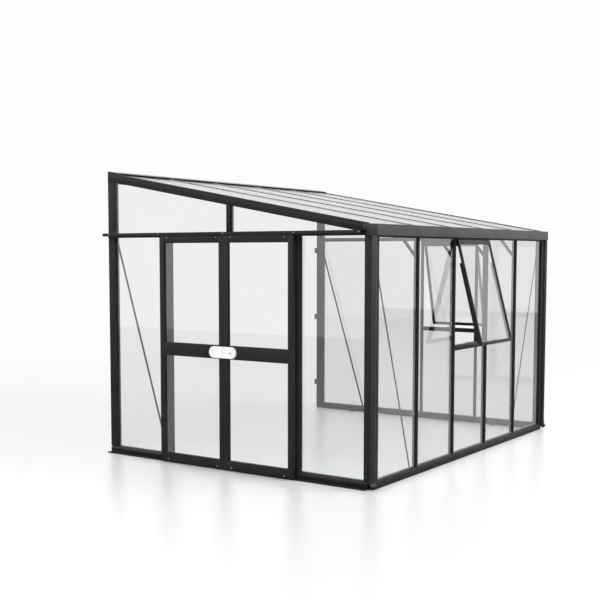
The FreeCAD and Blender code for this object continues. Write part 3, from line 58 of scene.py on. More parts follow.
camera_data = bpy.data.cameras.new("camera")
camera_data.sensor_width = sensor_width
camera_data.lens = focal_pixels * sensor_width / picture_pixels
camera_data.shift_x = (picture_pixels / 2 - picture_middle[0]) / picture_pixels
camera_data.shift_y = (picture_middle[1] - picture_pixels / 2) / picture_pixels
camera = bpy.data.objects.new("camera", camera_data)
bpy.context.scene.collection.objects.link(camera)
camera.location = corner + Vector(camera_place)
heading = math.radians(camera_heading)
dip = math.radians(camera_dip)
forward = Vector((math.cos(heading), math.sin(heading), 0)) * math.cos(dip)
forward.z = -math.sin(dip)
turn = forward.to_track_quat("-Z", "Y").to_matrix().to_4x4()
roll = Matrix.Rotation(math.radians(camera_roll), 4, "Z")
camera.rotation_euler = (turn @ roll).to_euler()
bpy.context.scene.camera = camera
bpy.context.scene.view_settings.view_transform = "Standard"


def new_material(name):
    """A new material, its node tree and its Principled shader."""
    material = bpy.data.materials.new(name)
    material.use_nodes = True
    tree = material.node_tree
    shader = tree.nodes["Principled BSDF"]
    return material, tree, shader


# The studio. A white surround lights the object evenly and shows white behind
# it and in the glass, and the pale floor keeps the object's shadow.
surround_light = 0.62
surround_seen = 0.98
world = bpy.data.worlds.new("studio")
world.use_nodes = True
bpy.context.scene.world = world
tree = world.node_tree
sky = tree.nodes["Background"]
path = tree.nodes.new("ShaderNodeLightPath")


def any_of(tree, sockets):
    """One when any of the sockets is one."""
    total = sockets[0]
    for socket in sockets[1:]:
        step = tree.nodes.new("ShaderNodeMath")
        step.operation = "MAXIMUM"
        tree.links.new(total, step.inputs[0])
        tree.links.new(socket, step.inputs[1])
        total = step.outputs[0]
    return total


seen = any_of(
    tree,
    [path.outputs["Is Camera Ray"], path.outputs["Is Glossy Ray"], path.outputs["Is Transmission Ray"]],
)
level = tree.nodes.new("ShaderNodeMapRange")
level.inputs["To Min"].default_value = surround_light
level.inputs["To Max"].default_value = surround_seen
tree.links.new(seen, level.inputs["Value"])
sky.inputs["Color"].default_value = (1, 1, 1, 1)

# Gloss also sees a brighter ceiling, which draws the sloped edges.
ceiling_light = 2.4
ceiling_start = 0.22
ceiling_full = 0.42
direction = tree.nodes.new("ShaderNodeTexCoord")
split = tree.nodes.new("ShaderNodeSeparateXYZ")
rise = tree.nodes.new("ShaderNodeMapRange")
rise.interpolation_type = "SMOOTHSTEP"
rise.inputs["From Min"].default_value = ceiling_start
rise.inputs["From Max"].default_value = ceiling_full
rise.inputs["To Max"].default_value = ceiling_light
in_gloss = tree.nodes.new("ShaderNodeMath")
in_gloss.operation = "MULTIPLY_ADD"
tree.links.new(direction.outputs["Generated"], split.inputs["Vector"])
tree.links.new(split.outputs["Z"], rise.inputs["Value"])
tree.links.new(rise.outputs["Result"], in_gloss.inputs[0])
tree.links.new(path.outputs["Is Glossy Ray"], in_gloss.inputs[1])
tree.links.new(level.outputs["Result"], in_gloss.inputs[2])
tree.links.new(in_gloss.outputs[0], sky.inputs["Strength"])


def soft_lamp(name, place, target, size, power):
    """A round area lamp that neither the camera nor a gloss sees."""
    data = bpy.data.lights.new(name, "AREA")
    data.shape = "DISK"
    data.size = size
    data.energy = power
    lamp = bpy.data.objects.new(name, data)
    bpy.context.scene.collection.objects.link(lamp)
    lamp.location = place
    lamp.rotation_euler = (Vector(target) - Vector(place)).to_track_quat("-Z", "Y").to_euler()
    lamp.visible_camera = False
    lamp.visible_glossy = False


lamp_target = (0, 0, 1)
soft_lamp("front_lamp", place=(3.0, -9.0, 7.0), target=lamp_target, size=6.0, power=560)
soft_lamp("door_lamp", place=(-9.0, -2.0, 6.0), target=lamp_target, size=5.0, power=330)

floor_near = -13.6
floor_far = 21.4
floor_reach = 29.0
floor_drop = 0.0006
floor_colour = (0.82, 0.82, 0.82, 1)
# Gloss sees the floor in a plain darker grey than its own colour, a painted reflection that darkens the
# lower part of the glass.
floor_reflection_painted_grey = (0.42, 0.42, 0.42, 1)
floor_glow = 0.042
fade_start = 5.0
fade_full = 11.0
floor_mesh = bpy.data.meshes.new("studio_floor")
floor_mesh.from_pydata(
    [
        (floor_near, -floor_reach, 0),
        (floor_far, -floor_reach, 0),
        (floor_far, floor_reach, 0),
        (floor_near, floor_reach, 0),
    ],
    [],
    [(0, 1, 2, 3)],
)
floor = bpy.data.objects.new("studio_floor", floor_mesh)
bpy.context.scene.collection.objects.link(floor)
floor.location.z = -floor_drop
floor_material, tree, shader = new_material("studio_floor")
shader.inputs["Base Color"].default_value = floor_colour
shader.inputs["Roughness"].default_value = 0.32
shader.inputs["Specular IOR Level"].default_value = 0.25
glow = tree.nodes.new("ShaderNodeEmission")
path = tree.nodes.new("ShaderNodeLightPath")
both = tree.nodes.new("ShaderNodeAddShader")
mirrored = tree.nodes.new("ShaderNodeMixShader")
plain = tree.nodes.new("ShaderNodeBsdfDiffuse")
plain.inputs["Color"].default_value = floor_reflection_painted_grey
seen = any_of(tree, [path.outputs["Is Camera Ray"], path.outputs["Is Transmission Ray"]])
lift = tree.nodes.new("ShaderNodeMath")
lift.operation = "MULTIPLY"
lift.inputs[1].default_value = floor_glow
tree.links.new(seen, lift.inputs[0])
tree.links.new(lift.outputs[0], glow.inputs["Strength"])
tree.links.new(shader.outputs[0], both.inputs[0])
tree.links.new(glow.outputs[0], both.inputs[1])

# Far from the object the floor fades into the white surround.
place = tree.nodes.new("ShaderNodeTexCoord")
away = tree.nodes.new("ShaderNodeVectorMath")
away.operation = "LENGTH"
fade = tree.nodes.new("ShaderNodeMapRange")
fade.interpolation_type = "SMOOTHSTEP"
fade.inputs["From Min"].default_value = fade_start
fade.inputs["From Max"].default_value = fade_full
white = tree.nodes.new("ShaderNodeEmission")
white.inputs["Strength"].default_value = surround_seen
only_far = tree.nodes.new("ShaderNodeMath")
only_far.operation = "MULTIPLY"
faded = tree.nodes.new("ShaderNodeMixShader")
tree.links.new(place.outputs["Object"], away.inputs[0])
tree.links.new(away.outputs["Value"], fade.inputs["Value"])
tree.links.new(fade.outputs["Result"], only_far.inputs[0])
tree.links.new(seen, only_far.inputs[1])
tree.links.new(only_far.outputs[0], faded.inputs[0])
tree.links.new(both.outputs[0], faded.inputs[1])
tree.links.new(white.outputs[0], faded.inputs[2])
# Rays from gloss alone see the painted reflection grey instead of the lit floor.
only_mirrored = tree.nodes.new("ShaderNodeMath")
only_mirrored.operation = "SUBTRACT"
only_mirrored.use_clamp = True
tree.links.new(path.outputs["Is Glossy Ray"], only_mirrored.inputs[0])
tree.links.new(path.outputs["Is Transmission Ray"], only_mirrored.inputs[1])
tree.links.new(only_mirrored.outputs[0], mirrored.inputs[0])
tree.links.new(faded.outputs[0], mirrored.inputs[1])
tree.links.new(plain.outputs[0], mirrored.inputs[2])
tree.links.new(mirrored.outputs[0], tree.nodes["Material Output"].inputs["Surface"])
floor_mesh.materials.append(floor_material)


# Sill rails on the floor. Folded aluminium lengths, powder coated in a matt
# near-black grey, with a sloped outer lip that sheds water and a groove for
# the foot of each pane. They stand on the floor and carry the posts.
coat_colour = (0.0185, 0.0193, 0.0208)
coat_roughness = 0.40
coat_gloss = 0.1
coat_drift = 0.12
coat_drift_size = 0.3
coat_gloss_drift = 0.05
peel_size = 0.0012
peel_depth = 0.0002
peel_strength = 0.12
cloud_low = 0.3
cloud_high = 0.7
weld_distance = 1e-6
flat_angle = math.radians(0.2)
smooth_angle = 28.0
arris_angle = math.radians(40)
arris_steps = 2


def mottled_colour(tree, socket, colour, spread, size):
    """Feeds a colour that drifts a little lighter and darker over the surface."""
    place = tree.nodes.new("ShaderNodeTexCoord")
    cloud = tree.nodes.new("ShaderNodeTexNoise")
    cloud.inputs["Scale"].default_value = 1 / size
    cloud.inputs["Detail"].default_value = 4
    tree.links.new(place.outputs["Object"], cloud.inputs["Vector"])
    tone = tree.nodes.new("ShaderNodeValToRGB")
    for stop, place_at, share in ((0, cloud_low, 1 - spread), (1, cloud_high, 1 + spread)):
        tone.color_ramp.elements[stop].position = place_at
        tone.color_ramp.elements[stop].color = [part * share for part in colour] + [1]
    tree.links.new(cloud.outputs["Fac"], tone.inputs["Fac"])
    tree.links.new(tone.outputs["Color"], socket)
    return place, cloud


def grainy(tree, shader, place, size, depth, strength):
    """Feeds a fine grain into the shader's normal."""
    grain = tree.nodes.new("ShaderNodeTexNoise")
    grain.inputs["Scale"].default_value = 1 / size
    grain.inputs["Detail"].default_value = 2
    tree.links.new(place.outputs["Object"], grain.inputs["Vector"])
    bump = tree.nodes.new("ShaderNodeBump")
    bump.inputs["Strength"].default_value = strength
    bump.inputs["Distance"].default_value = depth
    tree.links.new(grain.outputs["Fac"], bump.inputs["Height"])
    tree.links.new(bump.outputs["Normal"], shader.inputs["Normal"])


def powder_coat(name, colour, roughness, gloss_level):
    """Baked powder paint with its fine orange peel."""
    material, tree, shader = new_material(name)
    place, cloud = mottled_colour(
        tree, shader.inputs["Base Color"], colour, coat_drift, coat_drift_size
    )
    gloss = tree.nodes.new("ShaderNodeMapRange")
    gloss.inputs["To Min"].default_value = roughness - coat_gloss_drift
    gloss.inputs["To Max"].default_value = roughness + coat_gloss_drift
    tree.links.new(cloud.outputs["Fac"], gloss.inputs["Value"])
    tree.links.new(gloss.outputs["Result"], shader.inputs["Roughness"])
    grainy(tree, shader, place, peel_size, peel_depth, peel_strength)
    shader.inputs["Specular IOR Level"].default_value = gloss_level
    return material


dark_coat = powder_coat("dark_powder_coat", coat_colour, coat_roughness, coat_gloss)


def merged(node):
    """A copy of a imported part's mesh with its loose triangles joined up."""
    work = bmesh.new()
    work.from_mesh(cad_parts[node].data)
    bmesh.ops.remove_doubles(work, verts=work.verts, dist=weld_distance)
    bmesh.ops.dissolve_limit(
        work, angle_limit=flat_angle, verts=work.verts, edges=work.edges
    )
    return work


def settle_shading(mesh, sharp=smooth_angle):
    """Round faces shade smooth and flat ones stay flat, split at sharp edges."""
    work = bmesh.new()
    work.from_mesh(mesh)
    for face in work.faces:
        face.smooth = True
    for edge in work.edges:
        faces = edge.link_faces
        edge.smooth = len(faces) == 2 and edge.calc_face_angle(0) < math.radians(sharp)
    work.to_mesh(mesh)
    work.free()


def add_piece(name, mesh, body, slot, *stands_for):
    """Puts a finished mesh into the scene as one piece of a body."""
    piece = bpy.data.objects.new(name, mesh)
    bpy.context.scene.collection.objects.link(piece)
    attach(piece, body)
    if stands_for:
        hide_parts(*stands_for)


def eased(node, material, body="frame", slot="frame", ease=0.0006):
    """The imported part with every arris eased, as a bar comes from the press."""
    work = merged(node)
    low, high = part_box(node)
    arrises = [
        edge
        for edge in work.edges
        if len(edge.link_faces) == 2 and edge.calc_face_angle(0) > arris_angle
    ]
    bmesh.ops.bevel(
        work,
        geom=arrises,
        offset=ease,
        segments=arris_steps,
        profile=0.5,
        affect="EDGES",
        clamp_overlap=True,
    )
    for vert in work.verts:
        for axis in range(3):
            vert.co[axis] = min(max(vert.co[axis], low[axis]), high[axis])
    mesh = bpy.data.meshes.new(node + "_finished")
    work.to_mesh(mesh)
    work.free()
    mesh.materials.clear()
    mesh.materials.append(material)
    settle_shading(mesh)
    add_piece(node + "_finished", mesh, body, slot, node)


for node in ("base_front", "base_door_end", "base_far_end"):
    eased(node, dark_coat)

# Posts at the four corners. Hollow aluminium sections with glass grooves,
# cut square and screwed down on the sill rails; the two front ones have a
# bevelled corner that seats the downpipe.
for node in ("corner_posts", "wall_posts"):
    eased(node, dark_coat)

# Mullions between the front and far end panes. T bars behind the glass,
# each with a bevelled cap strip clipped on from outside.
for node in ("front_mullions", "far_end_mullions", "mullion_caps"):
    eased(node, dark_coat)

# Door jambs, gable transoms and the short bars above them. Grooved bars of
# the same dark aluminium, screwed together end to face.
for node in ("door_jambs", "gable_transoms", "gable_upper_mullions"):
    eased(node, dark_coat)

# Rafters of the two gables. A deep pressed bar follows the roof, with a
# raised bead along its outer face that stiffens it and catches the light.
eased("rafters", dark_coat)
roof_pitch = math.radians(10.2)
roof_lift = 1.984
bead_height = 0.011
bead_depth = 0.0016
bead_from_top = 0.030
bead_sunk = 0.0004
bead_crown = (0.45, 0.75)
bead_start = 0.080
bead_end_gap = 0.004
span_length = far_corner.x - corner.x
span_depth = far_corner.y - corner.y


def house(x, y, z):
    """A place measured in metres from the foot of the door end's front corner."""
    return corner + Vector((x, y, z))


def roof_height(y):
    """The roof line's height above the floor, at a depth from the front."""
    return roof_lift + y * math.tan(roof_pitch)


work = bmesh.new()
for outer, away in ((0.0, -1), (span_length, 1)):
    ends = []
    for y in (bead_start, span_depth - bead_end_gap):
        top = roof_height(y) - bead_from_top
        profile = [
            (outer - away * bead_sunk, top),
            (outer + away * bead_depth, top - bead_height * bead_crown[0]),
            (outer + away * bead_depth, top - bead_height * bead_crown[1]),
            (outer - away * bead_sunk, top - bead_height),
        ]
        ends.append([work.verts.new(house(x, y, z)) for x, z in profile])
    for number in range(4):
        after = (number + 1) % 4
        work.faces.new((ends[0][number], ends[0][after], ends[1][after], ends[1][number]))
    work.faces.new(ends[0])
    work.faces.new(reversed(ends[1]))
bmesh.ops.recalc_face_normals(work, faces=work.faces)
bead = bpy.data.meshes.new("rafter_bead")
work.to_mesh(bead)
work.free()
bead.materials.append(dark_coat)
add_piece("rafter_bead", bead, "frame", "frame")

# Roof bars and their caps. T bars run from the eave to the ridge under the
# sheets, and a low cap strip is screwed down over each joint. The strips get
# a paler grey than the bars, a painted sheen for the light they catch at a slant.
cap_sheen_colour = (0.135, 0.137, 0.14)
cap_sheen_coat = powder_coat("cap_sheen_powder_coat", cap_sheen_colour, roughness=0.5, gloss_level=0.3)
eased("roof_bars", dark_coat)
eased("roof_bar_caps", cap_sheen_coat)

# Ridge bar and its flashing. A hollow bar along the back takes the upper
# ends of the roof bars, and a folded sheet covers them against rain.
for node in ("wall_plate", "ridge_flashing"):
    eased(node, dark_coat)

# Roof panels. Extruded twin-wall polycarbonate in an opal tint: two thin
# skins joined by a web every few millimetres, slid in under the caps.
sheet_colour = (0.49, 0.498, 0.502)
sheet_thick = 0.010
sheet_drop = 0.008
skin_thick = 0.0008
web_thick = 0.0006
web_pitch = 0.0107
bar_module = 0.651
bar_clearance = 0.005
sheet_inset = 0.014
back_clearance = 0.012
eave_start = 0.020
sheet_shadow = (0.72, 0.73, 0.74, 1)


def clear_to_shadow(tree, shader, tint):
    """Lets lamp light through, which a refracting shader alone would stop."""
    path = tree.nodes.new("ShaderNodeLightPath")
    clear = tree.nodes.new("ShaderNodeBsdfTransparent")
    clear.inputs["Color"].default_value = tint
    blend = tree.nodes.new("ShaderNodeMixShader")
    tree.links.new(path.outputs["Is Shadow Ray"], blend.inputs[0])
    tree.links.new(shader.outputs[0], blend.inputs[1])
    tree.links.new(clear.outputs[0], blend.inputs[2])
    tree.links.new(blend.outputs[0], tree.nodes["Material Output"].inputs["Surface"])


opal, tree, shader = new_material("opal_polycarbonate")
place, _ = mottled_colour(tree, shader.inputs["Base Color"], sheet_colour, spread=0.02, size=0.25)
grainy(tree, shader, place, size=0.004, depth=0.0002, strength=0.05)
shader.inputs["Roughness"].default_value = 0.16
shader.inputs["IOR"].default_value = 1.2
shader.inputs["Transmission Weight"].default_value = 0.3
shader.inputs["Specular IOR Level"].default_value = 0.2
clear_to_shadow(tree, shader, sheet_shadow)


def new_tree(name, inputs):
    """An empty Geometry Nodes tree with named inputs."""
    tree = bpy.data.node_groups.new(name, "GeometryNodeTree")
    face = tree.interface
    face.new_socket("Geometry", in_out="INPUT", socket_type="NodeSocketGeometry")
    for label, kind in inputs:
        face.new_socket(label, in_out="INPUT", socket_type="NodeSocket" + kind)
    face.new_socket("Geometry", in_out="OUTPUT", socket_type="NodeSocketGeometry")
    return tree, tree.nodes.new("NodeGroupInput"), tree.nodes.new("NodeGroupOutput")


def close_tree(tree, start, end, last):
    """Ends a tree with real geometry in one material."""
    solid = tree.nodes.new("GeometryNodeRealizeInstances")
    paint = tree.nodes.new("GeometryNodeSetMaterial")
    tree.links.new(last, solid.inputs["Geometry"])
    tree.links.new(solid.outputs["Geometry"], paint.inputs["Geometry"])
    tree.links.new(start.outputs["Material"], paint.inputs["Material"])
    tree.links.new(paint.outputs["Geometry"], end.inputs["Geometry"])


def grown(name, base, tree, values):
    """Runs a tree on a mesh and gives back a plain mesh."""
    holder = bpy.data.objects.new(name + "_base", base)
    bpy.context.scene.collection.objects.link(holder)
    modifier = holder.modifiers.new("grow", "NODES")
    modifier.node_group = tree
    for socket in tree.interface.items_tree:
        if socket.in_out == "INPUT" and socket.name in values:
            modifier[socket.identifier] = values[socket.name]
    graph = bpy.context.evaluated_depsgraph_get()
    mesh = bpy.data.meshes.new_from_object(holder.evaluated_get(graph), depsgraph=graph)
    mesh.name = name
    holder.modifiers.clear()
    bpy.data.objects.remove(holder)
    return mesh


def outward(mesh):
    """Turns the faces of closed shells outwards."""
    work = bmesh.new()
    work.from_mesh(mesh)
    bmesh.ops.recalc_face_normals(work, faces=work.faces)
    work.to_mesh(mesh)
    work.free()


web_tree, start, end = new_tree(
    "sheet_webs",
    [
        ("Web Count", "Int"),
        ("First Web", "Vector"),
        ("Web Step", "Vector"),
        ("Web Size", "Vector"),
        ("Material", "Material"),
    ],
)
row = web_tree.nodes.new("GeometryNodeMeshLine")
web = web_tree.nodes.new("GeometryNodeMeshCube")
repeat = web_tree.nodes.new("GeometryNodeInstanceOnPoints")
join = web_tree.nodes.new("GeometryNodeJoinGeometry")
web_tree.links.new(start.outputs["Web Count"], row.inputs["Count"])
web_tree.links.new(start.outputs["First Web"], row.inputs["Start Location"])
web_tree.links.new(start.outputs["Web Step"], row.inputs["Offset"])
web_tree.links.new(start.outputs["Web Size"], web.inputs["Size"])
web_tree.links.new(row.outputs["Mesh"], repeat.inputs["Points"])
web_tree.links.new(web.outputs["Mesh"], repeat.inputs["Instance"])
web_tree.links.new(start.outputs["Geometry"], join.inputs["Geometry"])
web_tree.links.new(repeat.outputs["Instances"], join.inputs["Geometry"])
close_tree(web_tree, start, end, join.outputs["Geometry"])


def box_into(work, low, high):
    """Adds a plain box between two corners to a bmesh."""
    size = [high[axis] - low[axis] for axis in range(3)]
    middle = Vector([(high[axis] + low[axis]) / 2 for axis in range(3)])
    place = Matrix.Translation(middle) @ Matrix.Diagonal(Vector(size + [1]))
    bmesh.ops.create_cube(work, size=1, matrix=place)


first_bar = span_length / 2 - 1.5 * bar_module
bar_lines = [first_bar + number * bar_module for number in range(4)]
sheet_edges = [sheet_inset]
for line in bar_lines:
    sheet_edges += [line - bar_clearance, line + bar_clearance]
sheet_edges.append(span_length - sheet_inset)
slope_start = eave_start / math.cos(roof_pitch)
back_room = back_clearance + sheet_thick * math.sin(roof_pitch)
slope_stop = (span_depth - back_room) / math.cos(roof_pitch)
slope_length = slope_stop - slope_start
on_slope = Matrix.Translation(house(0, 0, roof_lift)) @ Matrix.Rotation(roof_pitch, 4, "X")
panels = bmesh.new()
for number in range(5):
    left, right = sheet_edges[2 * number], sheet_edges[2 * number + 1]
    skins = bmesh.new()
    for level in (-sheet_drop - skin_thick, -sheet_drop - sheet_thick):
        box_into(skins, (left, slope_start, level), (right, slope_stop, level + skin_thick))
    base = bpy.data.meshes.new("sheet_skins")
    skins.to_mesh(base)
    skins.free()
    count = int((right - left) / web_pitch)
    step = (right - left - web_thick) / count
    depth = sheet_thick - 2 * skin_thick
    sheet = grown(
        "roof_sheet",
        base,
        web_tree,
        {
            "Web Count": count + 1,
            "First Web": (
                left + web_thick / 2,
                (slope_start + slope_stop) / 2,
                -sheet_drop - sheet_thick / 2,
            ),
            "Web Step": (step, 0, 0),
            "Web Size": (web_thick, slope_length, depth),
            "Material": opal,
        },
    )
    panels.from_mesh(sheet)
panels.transform(on_slope)
mesh = bpy.data.meshes.new("roof_sheets")
panels.to_mesh(mesh)
panels.free()
mesh.materials.append(opal)
outward(mesh)
add_piece("roof_sheets", mesh, "frame", "twin_wall", "roof_panels")

# Gutter and eave rail. The rail ties the post tops together and the folded
# trough sits on it; its tall outer face is a shade lighter than the bars.
gutter_colour = (0.076, 0.078, 0.081)
gutter_coat = powder_coat("gutter_powder_coat", gutter_colour, roughness=0.5, gloss_level=0.08)
eased("eave_rail", dark_coat)
eased("gutter", gutter_coat, slot="gutter_metal", ease=0.0009)

# Gutter end pieces, downpipes and spouts. Moulded in a dark plastic with a
# satin skin; the end pieces push over the gutter and the pipes hang below.
plastic_colour = (0.026, 0.027, 0.029)
satin_plastic, tree, shader = new_material("satin_dark_plastic")
place, _ = mottled_colour(tree, shader.inputs["Base Color"], plastic_colour, spread=0.1, size=0.08)
grainy(tree, shader, place, size=0.0009, depth=0.0001, strength=0.1)
shader.inputs["Roughness"].default_value = 0.36
shader.inputs["Specular IOR Level"].default_value = 0.25
eased("gutter_end_pieces", satin_plastic, slot="dark_plastic", ease=0.0011)
eased("downpipes", satin_plastic, slot="dark_plastic", ease=0.0004)
eased("downpipe_spouts", satin_plastic, slot="dark_plastic", ease=0.0004)

# Knee and diagonal braces. Flat aluminium bar in the same dark coat, bolted
# across the inner faces so that the frame can't rack.
for node in ("knee_braces", "diagonal_braces"):
    eased(node, dark_coat, ease=0.0004)

# Glass. Toughened float panes, 4 mm thick and nearly clear, each held in the
# grooves of its bars. They mirror the bright surroundings at a slant.
glass_tint = (0.857, 0.869, 0.865)
glass_index = 1.85
glass_shadow = (0.86, 0.87, 0.87, 1)
float_glass, tree, shader = new_material("float_glass")
mottled_colour(tree, shader.inputs["Base Color"], glass_tint, spread=0.012, size=0.6)
shader.inputs["Roughness"].default_value = 0.0
shader.inputs["IOR"].default_value = glass_index
shader.inputs["Transmission Weight"].default_value = 1.0
clear_to_shadow(tree, shader, glass_shadow)
for node in (
    "front_panes",
    "end_panes",
    "gable_upper_panes",
    "front_sash_pane",
    "far_sash_pane",
    "left_door_panes",
    "right_door_panes",
):
    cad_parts[node].material_slots[0].material = float_glass

# Glazing seals. A black rubber bead runs round both faces of every pane
# where the glass leaves its groove, and is pressed in without glue.
seal_colour = (0.012, 0.012, 0.013)
bead_radius = 0.0011
bead_sides = 6
bead_edge = 70
bead_set = bead_radius * 0.7
rubber, tree, shader = new_material("black_rubber")
place, _ = mottled_colour(tree, shader.inputs["Base Color"], seal_colour, spread=0.2, size=0.05)
grainy(tree, shader, place, size=0.002, depth=0.0001, strength=0.2)
shader.inputs["Roughness"].default_value = 0.6
shader.inputs["Specular IOR Level"].default_value = 0.3

bead_tree, start, end = new_tree(
    "rubber_bead", [("Bead Radius", "Float"), ("Bead Sides", "Int"), ("Material", "Material")]
)
line = bead_tree.nodes.new("GeometryNodeMeshToCurve")
ring = bead_tree.nodes.new("GeometryNodeCurvePrimitiveCircle")
sweep = bead_tree.nodes.new("GeometryNodeCurveToMesh")
bead_tree.links.new(start.outputs["Geometry"], line.inputs["Mesh"])
bead_tree.links.new(start.outputs["Bead Radius"], ring.inputs["Radius"])
bead_tree.links.new(start.outputs["Bead Sides"], ring.inputs["Resolution"])
bead_tree.links.new(line.outputs["Curve"], sweep.inputs["Curve"])
bead_tree.links.new(ring.outputs["Curve"], sweep.inputs["Profile Curve"])
close_tree(bead_tree, start, end, sweep.outputs["Mesh"])

glass_front = 0.014
glass_back = 0.018
half_bar = 0.012
post_width = 0.079
jamb_offset = 0.659
jamb_width = 0.062
gable_middle = 1.357
gable_module = 0.628
sill_rail_top = 0.062
eave_groove = 1.888
transom_low = 1.901
transom_top = 1.938
window_sill = 0.945
rafter_deep = 0.075


def inset_loop(points, inset):
    """Moves the corners of a loop inwards, towards its middle, side by side."""
    middle = [sum(point[axis] for point in points) / len(points) for axis in range(2)]
    return [
        tuple(
            point[axis] + (inset if point[axis] < middle[axis] else -inset) for axis in range(2)
        )
        for point in points
    ]


def oblong(low, high, foot, top):
    """The four corners of an upright opening."""
    return [(low, foot), (high, foot), (high, top), (low, top)]


def add_loop(vertices, edges, points):
    """Adds a closed line through the points."""
    first = len(vertices)
    vertices.extend(points)
    count = len(points)
    edges.extend((first + number, first + (number + 1) % count) for number in range(count))


def seal_beads(name, body, loops):
    """Beads along closed loops of points."""
    vertices, edges = [], []
    for points in loops:
        add_loop(vertices, edges, points)
    base = bpy.data.meshes.new(name + "_lines")
    base.from_pydata(vertices, edges, [])
    values = {"Bead Radius": bead_radius, "Bead Sides": bead_sides, "Material": rubber}
    mesh = grown(name, base, bead_tree, values)
    outward(mesh)
    settle_shading(mesh, bead_edge)
    add_piece(name, mesh, body, "dark_plastic")


frame_loops = []
front_stops = [post_width]
for line_at in bar_lines:
    front_stops += [line_at - half_bar, line_at + half_bar]
front_stops.append(span_length - post_width)
for number in range(5):
    top = window_sill if number == 2 else eave_groove
    opening = oblong(front_stops[2 * number], front_stops[2 * number + 1], sill_rail_top, top)
    opening = inset_loop(opening, bead_set)
    for depth in (glass_front - bead_set, glass_back + bead_set):
        frame_loops.append([house(x, depth, z) for x, z in opening])

jamb_near = gable_middle - jamb_offset - jamb_width / 2
jamb_far = gable_middle + jamb_offset + jamb_width / 2
back_post = span_depth - post_width
door_openings = [(post_width, jamb_near, transom_low), (jamb_far, back_post, transom_low)]
far_stops = [post_width]
for number in (-1, 0, 1):
    line_at = gable_middle + number * gable_module
    far_stops += [line_at - half_bar, line_at + half_bar]
far_stops.append(back_post)
far_openings = []
for number in range(4):
    top = window_sill if number == 1 else transom_low
    far_openings.append((far_stops[2 * number], far_stops[2 * number + 1], top))
for openings, at_far in ((door_openings, False), (far_openings, True)):
    for low, high, top in openings:
        opening = inset_loop(oblong(low, high, sill_rail_top, top), bead_set)
        for depth in (glass_front - bead_set, glass_back + bead_set):
            x = span_length - depth if at_far else depth
            frame_loops.append([house(x, y, z) for y, z in opening])

upper_bar_half = 0.020
rafter_foot_gap = 0.010
rafter_foot = (transom_top + rafter_deep - roof_lift) / math.tan(roof_pitch)
for at_far in (False, True):
    for low, high in (
        (rafter_foot + rafter_foot_gap, gable_middle - upper_bar_half),
        (gable_middle + upper_bar_half, back_post),
    ):
        under = [roof_height(y) - rafter_deep for y in (low, high)]
        opening = [
            (low + bead_set, transom_top + bead_set),
            (high - bead_set, transom_top + bead_set),
            (high - bead_set, under[1] - bead_set),
            (low + bead_set, max(under[0] - bead_set, transom_top + 2 * bead_set)),
        ]
        for depth in (glass_front - bead_set, glass_back + bead_set):
            x = span_length - depth if at_far else depth
            frame_loops.append([house(x, y, z) for y, z in opening])
seal_beads("frame_seals", "frame", frame_loops)

# Windows. Each has a head rail with a hinge bead, a sloped sill, a hollow
# aluminium sash that hooks over the bead, and a flat casement stay on a peg.
for node in ("window_heads", "window_sills"):
    eased(node, dark_coat)
eased("front_sash_frame", dark_coat, "front_window")
eased("far_sash_frame", dark_coat, "far_window")
eased("front_stay", dark_coat, "front_stay", ease=0.0003)
eased("far_stay", dark_coat, "far_stay", ease=0.0003)

hinge_height = 1.884
hinge_out = 0.005
opening_angle = math.radians(14.6)
sash_lap = 0.006
sash_stile = 0.022
sash_drop = 0.917
sash_foot_rail = 0.028
sash_top = -0.040
sash_foot = sash_foot_rail - sash_drop
sash_glass_out = -0.006
sash_glass_in = -0.002
closed_to_open = Matrix.Rotation(-opening_angle, 4, "X")
for body, low, high in (
    ("front_window", bar_lines[1], bar_lines[2]),
    ("far_window", gable_middle - gable_module, gable_middle),
):
    opening = oblong(low + sash_lap + sash_stile, high - sash_lap - sash_stile, sash_foot, sash_top)
    opening = inset_loop(opening, bead_set)
    loops = []
    for depth in (sash_glass_out - bead_set, sash_glass_in + bead_set):
        loop = []
        for along, up in opening:
            swung = closed_to_open @ Vector((along, depth, up))
            if body == "front_window":
                loop.append(house(swung.x, swung.y - hinge_out, swung.z + hinge_height))
            else:
                out = span_length + hinge_out - swung.y
                loop.append(house(out, swung.x, swung.z + hinge_height))
        loops.append(loop)
    seal_beads(body + "_seals", body, loops)

# Door tracks. The top one is an aluminium channel with a cover face over the
# rollers, the bottom one a low rail that keeps the leaves in line.
for node in ("door_top_track", "door_bottom_rail"):
    eased(node, dark_coat)

# Sliding leaves. Hollow stiles and three rails each, screwed at the corners,
# with two panes held in rubber.
leaf_glass_out = -0.054
leaf_glass_in = -0.050
leaf_gap = 0.001
leaf_width = 0.678
stile_width = 0.046
leaf_levels = ((0.088, 0.914), (1.024, 1.852))
for side, sign in (("left", 1), ("right", -1)):
    body = side + "_door"
    for node in ("_door_stiles", "_door_rails"):
        eased(side + node, dark_coat, body)
    loops = []
    near = gable_middle + sign * (leaf_gap + stile_width)
    away = gable_middle + sign * (leaf_gap + leaf_width - stile_width)
    for foot, top in leaf_levels:
        opening = inset_loop(oblong(min(near, away), max(near, away), foot, top), bead_set)
        for depth in (leaf_glass_out - bead_set, leaf_glass_in + bead_set):
            loops.append([house(depth, y, z) for y, z in opening])
    seal_beads(body + "_seals", body, loops)

# Door handle and lock knob. Two halves moulded in white plastic, one on each
# leaf, with a sunk panel; a small steel knob turns in the right one.
handle_colour = (0.90, 0.90, 0.89)
white_plastic, tree, shader = new_material("white_plastic")
place, _ = mottled_colour(tree, shader.inputs["Base Color"], handle_colour, spread=0.015, size=0.05)
grainy(tree, shader, place, size=0.0008, depth=0.00008, strength=0.1)
shader.inputs["Roughness"].default_value = 0.38
shader.inputs["Specular IOR Level"].default_value = 0.4
eased("left_door_handle", white_plastic, "left_door", "white_plastic", 0.0005)
eased("right_door_handle", white_plastic, "right_door", "white_plastic", 0.0005)
knob_colour = (0.72, 0.72, 0.71)


